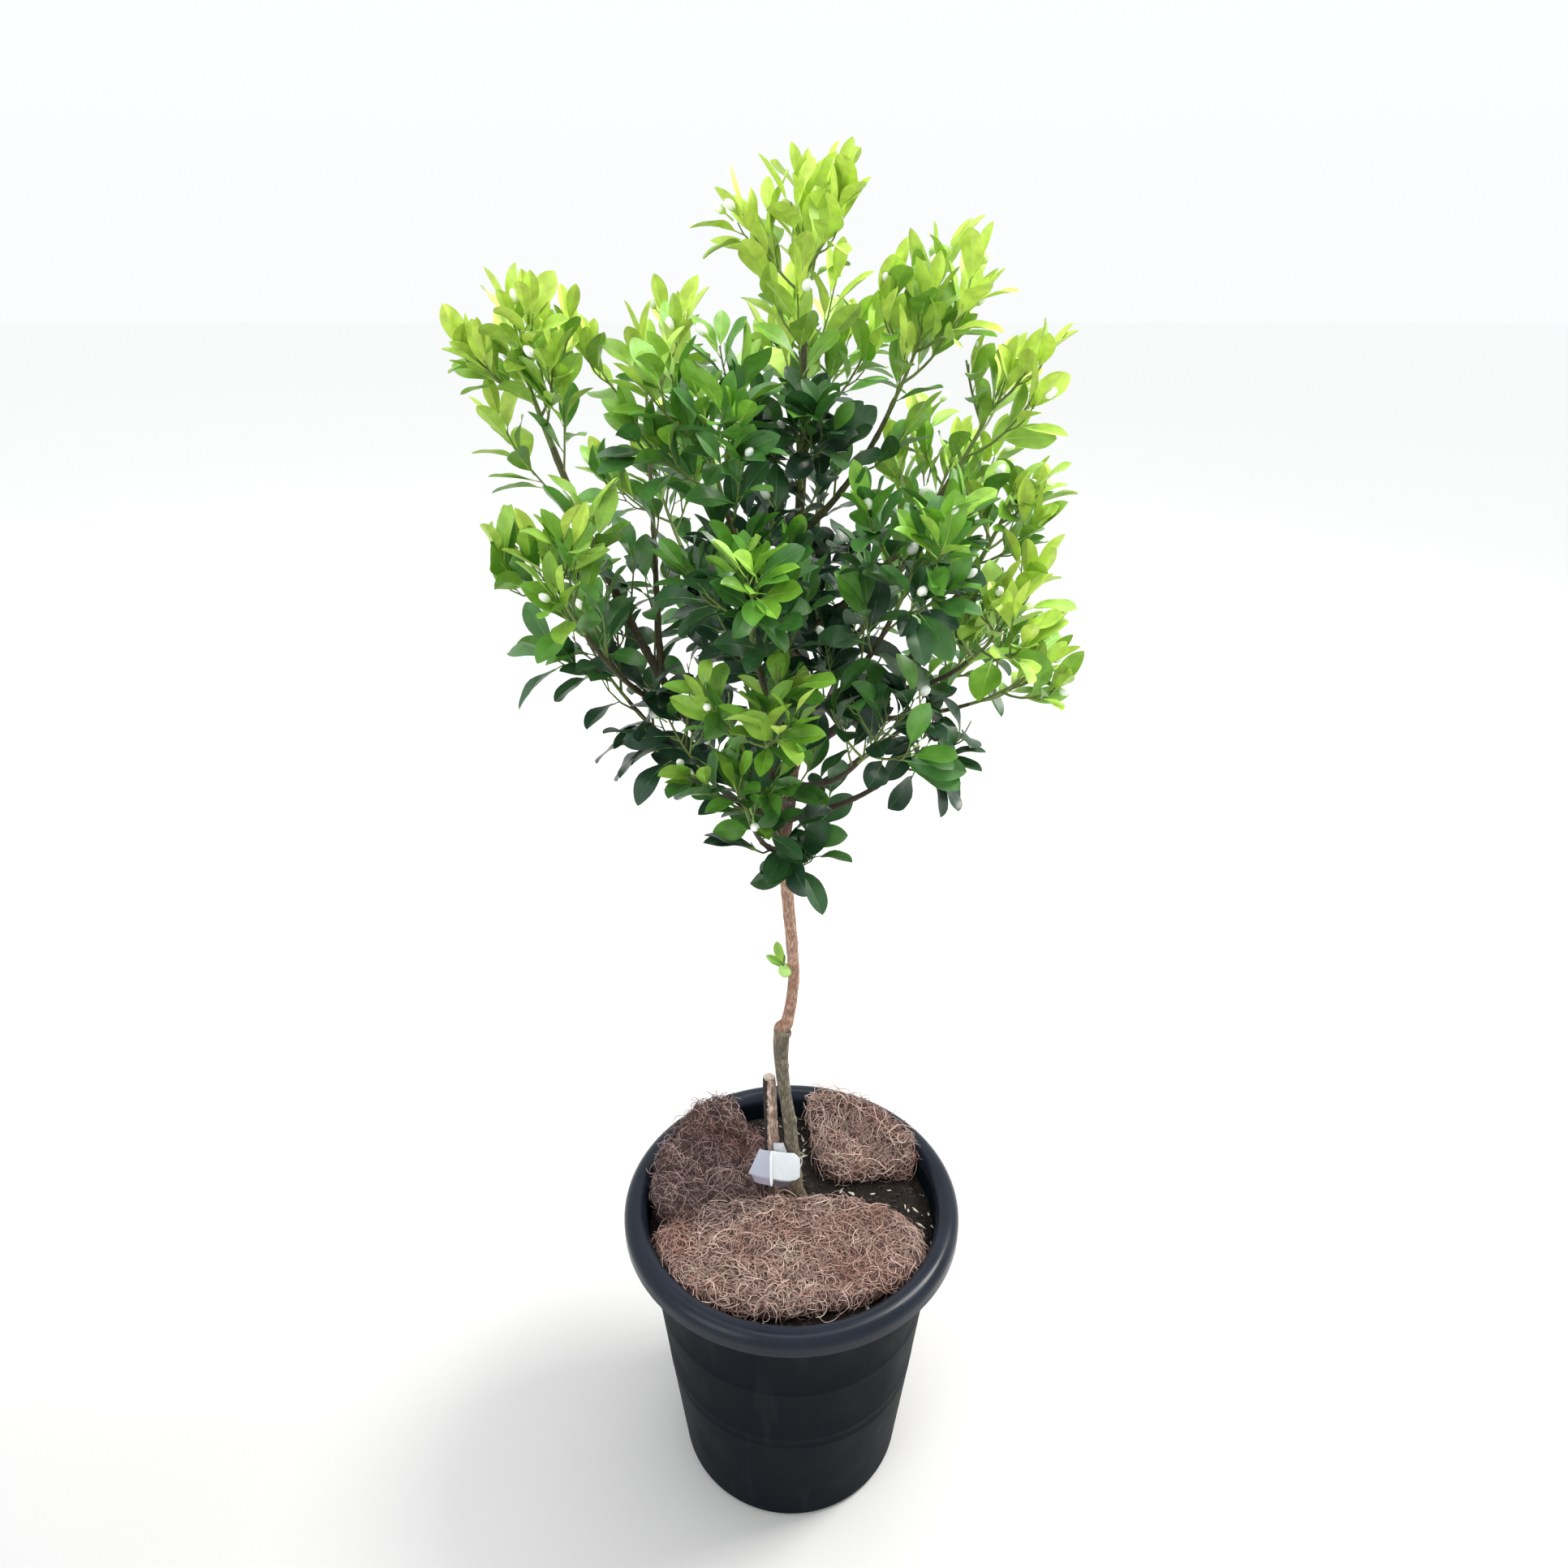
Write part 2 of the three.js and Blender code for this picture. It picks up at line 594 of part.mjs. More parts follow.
const TRUNK_SIDES = 9;
const BOUGH_SIDES = 5;
addPiece("trunk", limbSolid(trunkPath, TRUNK_SIDES), "bark");

const stumpPath = [
  { place: new THREE.Vector3(...stump.foot, soilTop + GAP), radius: stump.footRadius },
  { place: new THREE.Vector3(...stump.top, stump.topHeight), radius: stump.topRadius },
];
addPiece("cut_stump", limbSolid(stumpPath, TRUNK_SIDES), "bark");

// Each mat is cut clear of both stems and of the mats laid before it.
const laid = [trunkPath, stumpPath].map((path) => limbSolid(path, TRUNK_SIDES, 2 * GAP));
for (const piece of mats) {
  const cut = laid.reduce((rest, other) => rest.subtract(other), matSolid(piece));
  addPiece(`coir_mat_${piece.name}`, cut, "coir");
  laid.push(overMat(piece));
}
addPiece("plant_label", labelSolid(), "label");

for (const bough of boughs) {
  const sides = bough.on ? BOUGH_SIDES : TRUNK_SIDES;
  const parent = limbSolid(paths[bough.on ?? "trunk"], sides, 2 * GAP);
  addPiece(`bough_${bough.name}`, limbSolid(paths[bough.name], BOUGH_SIDES).subtract(parent), "bark");
}

const nearTrunk = limbSolid(trunkPath, TRUNK_SIDES, 2 * GAP);
masses.forEach((mass, index) => {
  const pieces = growFoliage(mass, index);
  if (mass.name === sprout.name) pieces.push(fruitSolid(mass));
  const whole = wasm.Manifold.union(pieces);
  addPiece(`foliage_${mass.name}`, mass.cut ? whole.subtract(nearTrunk) : whole, "leaf");
});

export default tree;
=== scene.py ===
import math

import bmesh
import bpy
import numpy as np
from mathutils import Euler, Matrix, Quaternion, Vector, noise


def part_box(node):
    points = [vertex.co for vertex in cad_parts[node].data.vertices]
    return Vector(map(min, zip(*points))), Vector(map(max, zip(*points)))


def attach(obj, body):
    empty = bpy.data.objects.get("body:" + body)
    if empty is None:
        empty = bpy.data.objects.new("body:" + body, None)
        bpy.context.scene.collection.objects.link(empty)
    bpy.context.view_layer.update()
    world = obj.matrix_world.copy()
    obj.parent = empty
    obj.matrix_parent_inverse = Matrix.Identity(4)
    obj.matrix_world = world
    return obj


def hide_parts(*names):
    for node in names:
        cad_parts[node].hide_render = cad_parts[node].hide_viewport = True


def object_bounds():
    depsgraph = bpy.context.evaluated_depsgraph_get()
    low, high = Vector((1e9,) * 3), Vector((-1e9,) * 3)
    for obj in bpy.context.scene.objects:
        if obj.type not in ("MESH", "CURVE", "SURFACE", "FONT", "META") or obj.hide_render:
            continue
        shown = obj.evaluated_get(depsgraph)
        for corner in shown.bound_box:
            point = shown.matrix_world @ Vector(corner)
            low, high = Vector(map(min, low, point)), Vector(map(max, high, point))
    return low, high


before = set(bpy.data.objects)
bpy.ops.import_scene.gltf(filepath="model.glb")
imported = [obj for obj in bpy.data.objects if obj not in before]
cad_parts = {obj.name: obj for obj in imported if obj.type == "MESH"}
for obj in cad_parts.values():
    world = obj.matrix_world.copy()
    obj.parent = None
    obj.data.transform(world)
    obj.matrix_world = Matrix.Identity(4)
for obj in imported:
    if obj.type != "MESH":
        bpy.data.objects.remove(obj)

cad_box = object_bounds()

# A young citrus tree grown as a standard: one bare stem under a loose round head, in a nursery pot
# under torn coir mats. Metres, +Z up, the origin under the middle of the pot. It is put together
# from the ground up.

# ------------------------------------------------------------------------------ nursery pot
# The pot that the tree is raised and sold in: black polypropylene, injection moulded in one piece
# with a rolled rim to lift it by. It stands loose on its flat underside.

pot_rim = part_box("pot")[1].x
pot_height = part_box("pot")[1].z
pot_base = 0.126
pot_shoulder = 0.158
pot_shoulder_drop = 0.022
pot_wall = 0.0024
pot_floor = 0.003
pot_foot_round = 0.009
pot_lip_drop = 0.010
rim_edge_round = 0.0006
floor_corner = 0.003
roll_radius = (pot_rim - pot_shoulder + pot_wall) / 2
roll_centre = (pot_rim - roll_radius, pot_height - roll_radius)


def linear(colour):
    """A colour written as sRGB hex, as linear red, green, blue and alpha."""
    parts = [int(colour[k : k + 2], 16) / 255 for k in (1, 3, 5)]
    return [p / 12.92 if p <= 0.04045 else ((p + 0.055) / 1.055) ** 2.4 for p in parts] + [1]


def add_node(tree, kind, feeds=None, **settings):
    """Adds a node to a tree with its settings. Each feed of an input is a value or another node's output."""
    node = tree.nodes.new(kind)
    for name, value in settings.items():
        setattr(node, name, value)
    for name, value in (feeds or {}).items():
        if isinstance(value, bpy.types.NodeSocket):
            tree.links.new(value, node.inputs[name])
        else:
            node.inputs[name].default_value = value
    return node


def start_material(name):
    """A new material, its node tree, and the object coordinates that its patterns lie on."""
    material = bpy.data.materials.new(name)
    material.use_nodes = True
    tree = material.node_tree
    tree.nodes.clear()
    return material, tree, add_node(tree, "ShaderNodeTexCoord").outputs["Object"]


def end_material(tree, finish, relief, strength, depth, **settings):
    """Ends a tree in the shader, with its finish, and a bump that stands up to a depth in metres."""
    bump = add_node(tree, "ShaderNodeBump", {
        "Height": relief, "Strength": strength, "Distance": depth}, **settings)
    shader = add_node(tree, "ShaderNodeBsdfPrincipled", {**finish, "Normal": bump.outputs["Normal"]})
    add_node(tree, "ShaderNodeOutputMaterial", {"Surface": shader.outputs["BSDF"]})


def make_piece(name, places, faces, material, crease=35):
    """A closed mesh object with its faces outward, smooth but for edges sharper than crease degrees."""
    mesh = bpy.data.meshes.new(name)
    mesh.from_pydata([tuple(p) for p in places], [], faces)
    shell = bmesh.new()
    shell.from_mesh(mesh)
    bmesh.ops.recalc_face_normals(shell, faces=shell.faces)
    shell.to_mesh(mesh)
    shell.free()
    mesh.shade_smooth()
    mesh.set_sharp_from_angle(angle=math.radians(crease))
    mesh.materials.append(material)
    piece = bpy.data.objects.new(name, mesh)
    bpy.context.scene.collection.objects.link(piece)
    return piece


def ring_faces(rings, sides):
    """Faces over rings of places, from a first single place to a last one."""
    faces, last = [], rings * sides + 1
    for i in range(sides):
        j = (i + 1) % sides
        faces.append((0, 1 + j, 1 + i))
        for ring in range(rings - 1):
            a = 1 + ring * sides
            faces.append((a + i, a + j, a + sides + j, a + sides + i))
        faces.append((last, last - sides + i, last - sides + j))
    return faces


def turned(section, sides):
    """Places and faces turned about Z from (radius, height) points. Its two ends lie on the axis."""
    places = [(0, 0, section[0][1])]
    for radius, height in section[1:-1]:
        for i in range(sides):
            angle = 2 * math.pi * i / sides
            places.append((radius * math.cos(angle), radius * math.sin(angle), height))
    places.append((0, 0, section[-1][1]))
    return places, ring_faces(len(section) - 2, sides)


def outside_at(height):
    """The radius of the pot's outside at a height."""
    return np.interp(height, (0, pot_height - pot_shoulder_drop), (pot_base, pot_shoulder))


def pot_section():
    """From the middle of the floor, up the inside, round the rolled rim and down the outside."""

    def arc(radius, start, end, steps):
        """Points round the middle of the rolled rim."""
        across, up = roll_centre
        angles = np.linspace(start, end, steps + 1)
        return [(across + radius * math.cos(a), up + radius * math.sin(a)) for a in angles]

    under_rim = roll_centre[1] - pot_lip_drop
    inside_foot = pot_base - 2 * pot_wall
    inside_wall = pot_rim - pot_wall
    section = [(0, pot_floor), (inside_foot - floor_corner, pot_floor)]
    section += [(inside_foot, pot_floor + floor_corner)]
    section += arc(roll_radius, math.pi, 0, 20)
    section += [(pot_rim, under_rim + rim_edge_round), (pot_rim - rim_edge_round, under_rim)]
    section += [(inside_wall + rim_edge_round, under_rim), (inside_wall, under_rim + rim_edge_round)]
    section += arc(roll_radius - pot_wall, 0, math.pi, 12)
    # Faint steps run round the wall where the mould's rings met and where pots stack.
    hoops = [(0.318, 0.0005), (0.241, 0.00025), (0.159, 0.00025), (0.143, 0.00025)]
    for height, proud in hoops:
        section += [(outside_at(height + dz) + out, height + dz)
                    for dz, out in ((0.004, 0), (0.0016, proud), (-0.0016, proud), (-0.003, 0))]
    for k in range(9):
        angle = math.radians(10 * k)
        section.append((outside_at(0) - pot_foot_round * (1 - math.cos(angle)),
                        pot_foot_round * (1 - math.sin(angle))))
    section += [(pot_base - pot_foot_round, 0), (0, 0)]
    return section


# Polypropylene straight from the mould: the wall is satin and nearly black, a little mottled and dulled
# by dust and water marks. The roll is more polished, and its tones are bluer and lighter as a painted
# reflection of cool light.
def moulded_plastic(name, tones, dust_most, roughness, specular):
    """Black plastic between two tones, with its most dust, its least and most roughness, and its gloss."""
    material, tree, where = start_material(name)
    mottle = add_node(tree, "ShaderNodeTexNoise", {"Vector": where, "Scale": 22, "Detail": 4}).outputs["Fac"]
    down = add_node(tree, "ShaderNodeMapping", {"Vector": where, "Scale": (60, 60, 5)}).outputs["Vector"]
    streaks = add_node(tree, "ShaderNodeTexNoise", {"Vector": down, "Scale": 1, "Detail": 5}).outputs["Fac"]
    grain = add_node(tree, "ShaderNodeTexNoise", {"Vector": where, "Scale": 1100, "Detail": 2}).outputs["Fac"]
    clean = add_node(tree, "ShaderNodeMix", {
        "Factor": mottle, 6: linear(tones[0]), 7: linear(tones[1])}, data_type="RGBA").outputs[2]
    dust = add_node(tree, "ShaderNodeMapRange", {
        "Value": streaks, "From Min": 0.56, "From Max": 0.82, "To Max": dust_most}).outputs["Result"]
    dusty = add_node(tree, "ShaderNodeMix", {
        "Factor": dust, 6: clean, 7: linear("#55585a")}, data_type="RGBA").outputs[2]
    rough = add_node(tree, "ShaderNodeMapRange", {
        "Value": mottle, "From Min": 0.3, "From Max": 0.7, "To Min": roughness[0], "To Max": roughness[1]})
    end_material(tree, {
        "Base Color": dusty, "Roughness": rough.outputs["Result"], "IOR": 1.49,
        "Specular IOR Level": specular}, grain, 0.12, 0.0003)
    return material


wall_plastic = moulded_plastic(
    "Black moulded polypropylene, grained", ("#080c11", "#0f161c"), 0.08, (0.46, 0.58), 0.03)
# The roll's tones are bluer and lighter than the wall's: a painted reflection of cool light.
roll_plastic_painted_reflection = moulded_plastic(
    "Black moulded polypropylene, polished", ("#0b1019", "#151d2a"), 0.03, (0.22, 0.33), 0.24)

pot = make_piece("pot_shell", *turned(pot_section(), 128), wall_plastic, crease=40)
pot.data.materials.append(roll_plastic_painted_reflection)
for face in pot.data.polygons:
    if face.center.z > pot_height - pot_shoulder_drop:
        face.material_index = 1
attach(pot, "root")
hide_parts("pot")

# ------------------------------------------------------------------------------ potting mix
# Composted bark and peat with a little perlite, tipped in and firmed down. It is dark and damp, and
# shows only where no coir mat lies on it: a strip inside the front of the rim and a wedge at the right.

mix_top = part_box("potting_mix")[1].z
mix_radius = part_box("potting_mix")[1].x
mix_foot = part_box("potting_mix")[0].z
mat_gap = 0.0003  # between the mix and what stands or lies on it

# The torn coir mats that lie on the mix: each is an oval, or with a higher square a rounder-cornered
# patch, with a few waves in its outline. Curl lifts the part that leans on the pot's wall, and rumple
# is how high its lumps stand.
mats = [
    {"name": "front", "centre": (-0.006, -0.063), "long": 0.141, "short": 0.071, "turn": 3, "square": 2.2,
     "waves": 0.025, "phase": 0.4, "curl": 0.002, "rumple": 0.0024},
    {"name": "left", "centre": (-0.095, 0.057), "long": 0.097, "short": 0.066, "turn": 106, "square": 2.2,
     "waves": 0.05, "phase": 2.1, "curl": 0.022, "rumple": 0.0100},
    {"name": "back", "centre": (0.082, 0.105), "long": 0.062, "short": 0.055, "turn": 100, "square": 4.5,
     "waves": 0.03, "phase": 4.0, "curl": 0.024, "rumple": 0.0024},
]


def mat_reach(mat, angle):
    """How far a mat reaches from its middle at an angle."""
    tilt = math.radians(mat["turn"])
    shares = abs(math.cos(angle - tilt)) / mat["long"], abs(math.sin(angle - tilt)) / mat["short"]
    wave = mat["waves"] * (math.sin(3 * angle + mat["phase"]) + 0.5 * math.sin(7 * angle + 2 * mat["phase"]))
    return sum(share ** mat["square"] for share in shares) ** (-1 / mat["square"]) * (1 + wave)


def under_mat(x, y):
    """True if a mat lies over this place on the mix."""
    for mat in mats:
        dx, dy = x - mat["centre"][0], y - mat["centre"][1]
        if math.hypot(dx, dy) < mat_reach(mat, math.atan2(dy, dx)) - 0.004:
            return True
    return False


def mix_height(x, y):
    """The loose surface of the mix: hollows and lumps a few millimetres deep, lowest along the wall."""
    lumps = noise.fractal(Vector((x, y, 0)) * 60, 1.0, 2.0, 4)
    along_wall = max(0.0, math.hypot(x, y) / mix_radius - 0.85) / 0.15
    return mix_top - 0.0025 + 0.0024 * lumps - 0.0035 * along_wall


def mix_plug():
    """The whole plug of mix, with a fine polar grid on top."""
    rings, spokes = 46, 132
    places = [(0, 0, mix_height(0, 0))]
    for ring in range(1, rings + 1):
        radius = mix_radius * ring / rings
        for i in range(spokes):
            angle = 2 * math.pi * (i + 0.5 * (ring % 2)) / spokes
            x, y = radius * math.cos(angle), radius * math.sin(angle)
            places.append((x, y, mix_height(x, y)))
    foot = len(places)
    foot_radius = pot_base - 2 * pot_wall - 0.0035
    for i in range(spokes):
        angle = 2 * math.pi * i / spokes
        places.append((foot_radius * math.cos(angle), foot_radius * math.sin(angle), mix_foot))
    places.append((0, 0, mix_foot))
    faces = []
    for i in range(spokes):
        j = (i + 1) % spokes
        faces.append((0, 1 + i, 1 + j))
        for ring in range(rings - 1):
            a = 1 + ring * spokes
            faces.append((a + i, a + spokes + i, a + spokes + j, a + j))
        a = foot - spokes
        faces.append((a + i, foot + i, foot + j, a + j))
        faces.append((foot + i, len(places) - 1, foot + j))
    return places, faces


# Damp peat and bark fines: almost black in the hollows, warmer on the crumbs, with no shine.
damp_mix, tree, where = start_material("Damp peat and composted bark")
crumb = add_node(tree, "ShaderNodeTexVoronoi", {"Vector": where, "Scale": 420, "Randomness": 1})
patch = add_node(tree, "ShaderNodeTexNoise", {"Vector": where, "Scale": 90, "Detail": 6}).outputs["Fac"]
tone = add_node(tree, "ShaderNodeMix", {
    "Factor": patch, 6: linear("#080706"), 7: linear("#211913")}, data_type="RGBA").outputs[2]
end_material(tree, {
    "Base Color": tone, "Roughness": 0.95, "Specular IOR Level": 0.3},
    crumb.outputs["Distance"], 0.9, 0.0016, invert=True)

mix = make_piece("mix_plug", *mix_plug(), damp_mix, crease=60)
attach(mix, "root")
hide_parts("potting_mix")

# Loose bits are scattered over the open mix: chips of bark, crumbs of peat, perlite and dry scraps.
open_ground = mix.copy()
open_ground.data = mix.data.copy()
bpy.context.scene.collection.objects.link(open_ground)
shows = open_ground.data.attributes.new("shows", "FLOAT", "POINT")
for k, vertex in enumerate(open_ground.data.vertices):
    x, y, z = vertex.co
    far = math.hypot(x, y)
    on_top = z > mix_top - 0.02 and far < mix_radius - 0.003
    shows.data[k].value = 1.0 if on_top and not under_mat(x, y) else 0.0


def chip(name, size, ragged, seed):
    """An irregular little lump, from an icosahedron stretched to size and made ragged."""
    shape = bmesh.new()
    bmesh.ops.create_icosphere(shape, subdivisions=1, radius=0.5)
    for vertex in shape.verts:
        push = 1 + ragged * noise.noise(vertex.co * 3 + Vector((seed, 0, 0)))
        vertex.co = Vector(c * s * push for c, s in zip(vertex.co, size))
    mesh = bpy.data.meshes.new(name)
    shape.to_mesh(mesh)
    shape.free()
    return bpy.data.objects.new(name, mesh)


def collect(name, objects):
    """A collection of shapes for the node trees to pick from, kept out of the scene."""
    group = bpy.data.collections.new(name)
    for shape in objects:
        group.objects.link(shape)
    return group


def start_node_tree(name, inputs):
    """A Geometry Nodes tree with named inputs, and its input node."""
    tree = bpy.data.node_groups.new(name, "GeometryNodeTree")
    tree.interface.new_socket("Geometry", in_out="OUTPUT", socket_type="NodeSocketGeometry")
    for label, kind in inputs.items():
        tree.interface.new_socket(label, in_out="INPUT", socket_type="NodeSocket" + kind)
    return tree, add_node(tree, "NodeGroupInput").outputs


def end_node_tree(tree, geometry, material):
    """Ends a tree with real geometry in its material."""
    real = add_node(tree, "GeometryNodeRealizeInstances", {"Geometry": geometry}).outputs["Geometry"]
    dressed = add_node(tree, "GeometryNodeSetMaterial", {"Geometry": real, "Material": material})
    add_node(tree, "NodeGroupOutput", {"Geometry": dressed.outputs["Geometry"]})


def made_by_nodes(name, source, tree, inputs):
    """What a node tree makes of a source object, as a plain mesh object of its own."""
    modifier = source.modifiers.new(tree.name, "NODES")
    modifier.node_group = tree
    for socket in tree.interface.items_tree:
        if socket.name in inputs:
            modifier[socket.identifier] = inputs[socket.name]
    evaluated = source.evaluated_get(bpy.context.evaluated_depsgraph_get())
    mesh = bpy.data.meshes.new_from_object(evaluated)
    source.modifiers.remove(modifier)
    mesh.name = name
    piece = bpy.data.objects.new(name, mesh)
    bpy.context.scene.collection.objects.link(piece)
    return piece


FORMS_EACH = 8  # forms in each set that is scattered
scatter, given = start_node_tree("Scattered over a surface", {
    "Geometry": "Geometry", "Forms": "Collection", "Per Square Metre": "Float", "Smallest": "Float",
    "Largest": "Float", "Tilt": "Float", "Seed": "Int", "Material": "Material"})
share = add_node(scatter, "GeometryNodeInputNamedAttribute", {"Name": "shows"}, data_type="FLOAT")
density = add_node(scatter, "ShaderNodeMath", {
    0: share.outputs["Attribute"], 1: given["Per Square Metre"]}, operation="MULTIPLY")
points = add_node(scatter, "GeometryNodeDistributePointsOnFaces", {
    "Mesh": given["Geometry"], "Density": density.outputs[0], "Seed": given["Seed"]})
tilt = add_node(scatter, "ShaderNodeCombineXYZ", {"X": given["Tilt"], "Y": given["Tilt"], "Z": math.pi})
back_tilt = add_node(scatter, "ShaderNodeVectorMath", {0: tilt.outputs[0], "Scale": -1.0}, operation="SCALE")
lean = add_node(scatter, "FunctionNodeRandomValue", {
    "Min": back_tilt.outputs[0], "Max": tilt.outputs[0], "Seed": 1}, data_type="FLOAT_VECTOR")
turn = add_node(scatter, "FunctionNodeEulerToRotation", {"Euler": lean.outputs["Value"]})
rotation = add_node(scatter, "FunctionNodeRotateRotation", {
    "Rotation": points.outputs["Rotation"], "Rotate By": turn.outputs[0]}, rotation_space="LOCAL")
size = add_node(scatter, "FunctionNodeRandomValue", {
    2: given["Smallest"], 3: given["Largest"], "Seed": 2}, data_type="FLOAT")
which = add_node(scatter, "FunctionNodeRandomValue", {
    4: 0, 5: FORMS_EACH - 1, "Seed": 3}, data_type="INT")
forms = add_node(scatter, "GeometryNodeCollectionInfo", {
    "Collection": given["Forms"], "Separate Children": True, "Reset Children": True})
copies = add_node(scatter, "GeometryNodeInstanceOnPoints", {
    "Points": points.outputs["Points"], "Instance": forms.outputs[0], "Pick Instance": True,
    "Instance Index": which.outputs[2], "Rotation": rotation.outputs[0], "Scale": size.outputs[1]})
end_node_tree(scatter, copies.outputs[0], given["Material"])


def speckled(name, dark, light, scale, roughness):
    """A dull natural finish, mottled between two colours in patches of about 1/scale metres."""
    material, tree, where = start_material(name)
    patch = add_node(tree, "ShaderNodeTexNoise", {
        "Vector": where, "Scale": scale, "Detail": 3}).outputs["Fac"]
    tone = add_node(tree, "ShaderNodeMix", {
        "Factor": patch, 6: linear(dark), 7: linear(light)}, data_type="RGBA").outputs[2]
    end_material(tree, {"Base Color": tone, "Roughness": roughness}, patch, 0.4, 0.0004)
    return material


# Bark chips are warm brown where they broke, peat crumbs near black, perlite chalk white, and the dry
# scraps of leaf and straw are bleached. Each has a size, a raggedness, a number to the square metre,
# and its finish: two colours, a scale and a roughness.
loose_bits = [
    ("bark_chips", (0.0075, 0.0040, 0.0024), 1.1, 7000,
     ("Broken pine bark", "#17100c", "#423024", 300, 0.9)),
    ("peat_crumbs", (0.0042, 0.0036, 0.0030), 1.3, 38000,
     ("Peat crumb", "#080605", "#1d1611", 400, 0.95)),
    ("perlite", (0.0034, 0.0030, 0.0028), 0.9, 1700,
     ("Expanded perlite", "#b9b6ab", "#e9e6dc", 900, 0.9)),
    ("dry_scraps", (0.0150, 0.0034, 0.0009), 1.0, 1300,
     ("Dry straw", "#8f8a78", "#d6d0bd", 250, 0.85)),
]
for seed, (name, bit_size, ragged, density, look) in enumerate(loose_bits, 1):
    finish = speckled(*look)
    chips = [chip(f"{name}_{k}", bit_size, ragged, 7 * k) for k in range(FORMS_EACH)]
    shapes = collect(name + "_forms", chips)
    bits = made_by_nodes(name, open_ground, scatter, {
        "Forms": shapes, "Per Square Metre": density, "Smallest": 0.45, "Largest": 1.25,
        "Tilt": 0.7, "Seed": seed, "Material": finish})
    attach(bits, "root")
    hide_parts("potting_mix")
bpy.data.objects.remove(open_ground)

# ------------------------------------------------------------------------------ trunk
# One slender stem, planted at the back of the middle. The rootstock is grey-brown and ridged and ends
# in a cut shoulder; the grafted top grows on beside it, smoother and pinkish tan.

GRAFT = 0.578
# Height, sideways and backward place of the stem's centre, and its radius.
trunk_stations = [
    (0.3383, 0.004, 0.022, 0.0120), (0.350, 0.004, 0.022, 0.0096), (0.375, 0.003, 0.021, 0.0082),
    (0.410, 0.001, 0.020, 0.0075), (0.450, -0.002, 0.019, 0.0068), (0.490, -0.007, 0.018, 0.0065),
    (0.530, -0.011, 0.018, 0.0070), (0.560, -0.011, 0.018, 0.0080), (0.577, -0.010, 0.018, 0.0083),
    (0.580, -0.006, 0.018, 0.0064), (0.606, -0.001, 0.018, 0.0056), (0.640, 0.002, 0.017, 0.0056),
    (0.690, -0.001, 0.016, 0.0057), (0.740, -0.005, 0.015, 0.0059), (0.790, -0.009, 0.012, 0.0066),
    (0.850, -0.003, 0.009, 0.0060), (0.905, 0.003, 0.006, 0.0056), (0.950, 0.005, 0.002, 0.0051),
    (1.010, 0.005, -0.001, 0.0046), (1.080, 0.003, -0.004, 0.0040), (1.150, 0.007, -0.004, 0.0034),
    (1.235, 0.006, -0.002, 0.0026),
]


def bark_limb(centres, radii, sides, relief):
    """Places and faces of a closed limb. relief(ring, angle, centre) is how far the bark stands out."""
    frame_turn = Quaternion()
    before = Vector((0, 0, 1))
    places = []
    for k, centre in enumerate(centres):
        along = (centres[min(k + 1, len(centres) - 1)] - centres[max(k - 1, 0)]).normalized()
        frame_turn = before.rotation_difference(along) @ frame_turn
        before = along
        for i in range(sides):
            angle = 2 * math.pi * i / sides
            reach = radii[k] + relief(k, angle, centre)
            places.append(centre + frame_turn @ Vector((math.cos(angle), math.sin(angle), 0)) * reach)
    faces = [tuple(reversed(range(sides)))]
    for k in range(len(centres) - 1):
        for i in range(sides):
            j = (i + 1) % sides
            faces.append((k * sides + i, k * sides + j, (k + 1) * sides + j, (k + 1) * sides + i))
    faces.append(tuple(range((len(centres) - 1) * sides, len(centres) * sides)))
    return places, faces


def smoothed(values, reach):
    """A running mean that keeps both ends."""
    window = np.ones(2 * reach + 1) / (2 * reach + 1)
    padded = np.concatenate([np.full(reach, values[0]), values, np.full(reach, values[-1])])
    mean = np.convolve(padded, window, "valid")
    mean[0], mean[-1] = values[0], values[-1]
    return mean


table = np.array(trunk_stations)
# Rings stand 2.5 mm apart up the stem, and closer over the cut shoulder of the graft.
heights = np.union1d(
    np.arange(table[0, 0], table[-1, 0], 0.0025), np.arange(GRAFT - 0.004, GRAFT + 0.004, 0.0005))
heights = np.append(heights[heights < table[-1, 0] - 0.001], table[-1, 0])
trunk_radii = smoothed(np.interp(heights, table[:, 0], table[:, 3]), 1)
trunk_centres = [Vector(place) for place in zip(
    smoothed(np.interp(heights, table[:, 0], table[:, 1]), 4),
    smoothed(np.interp(heights, table[:, 0], table[:, 2]), 4), heights)]

# Old leaf scars stand in a spiral, two fifths of a turn apart, and pruned side shoots left a few knots.
# Each is its height, its turn in radians, and how far it stands out.
scars = [(0.372 + 0.031 * k, math.radians(144 * k), 0.0009) for k in range(26)]
knots = [(0.405, -0.4, 0.0020), (0.418, 2.6, 0.0014), (0.452, 0.2, 0.0018), (0.497, -0.9, 0.0016),
         (0.545, 2.2, 0.0020), (0.572, -0.5, 0.0026), (0.604, -1.1, 0.0012), (0.668, -2.0, 0.0014),
         (0.702, -1.4, 0.0013), (0.745, 0.6, 0.0014)]


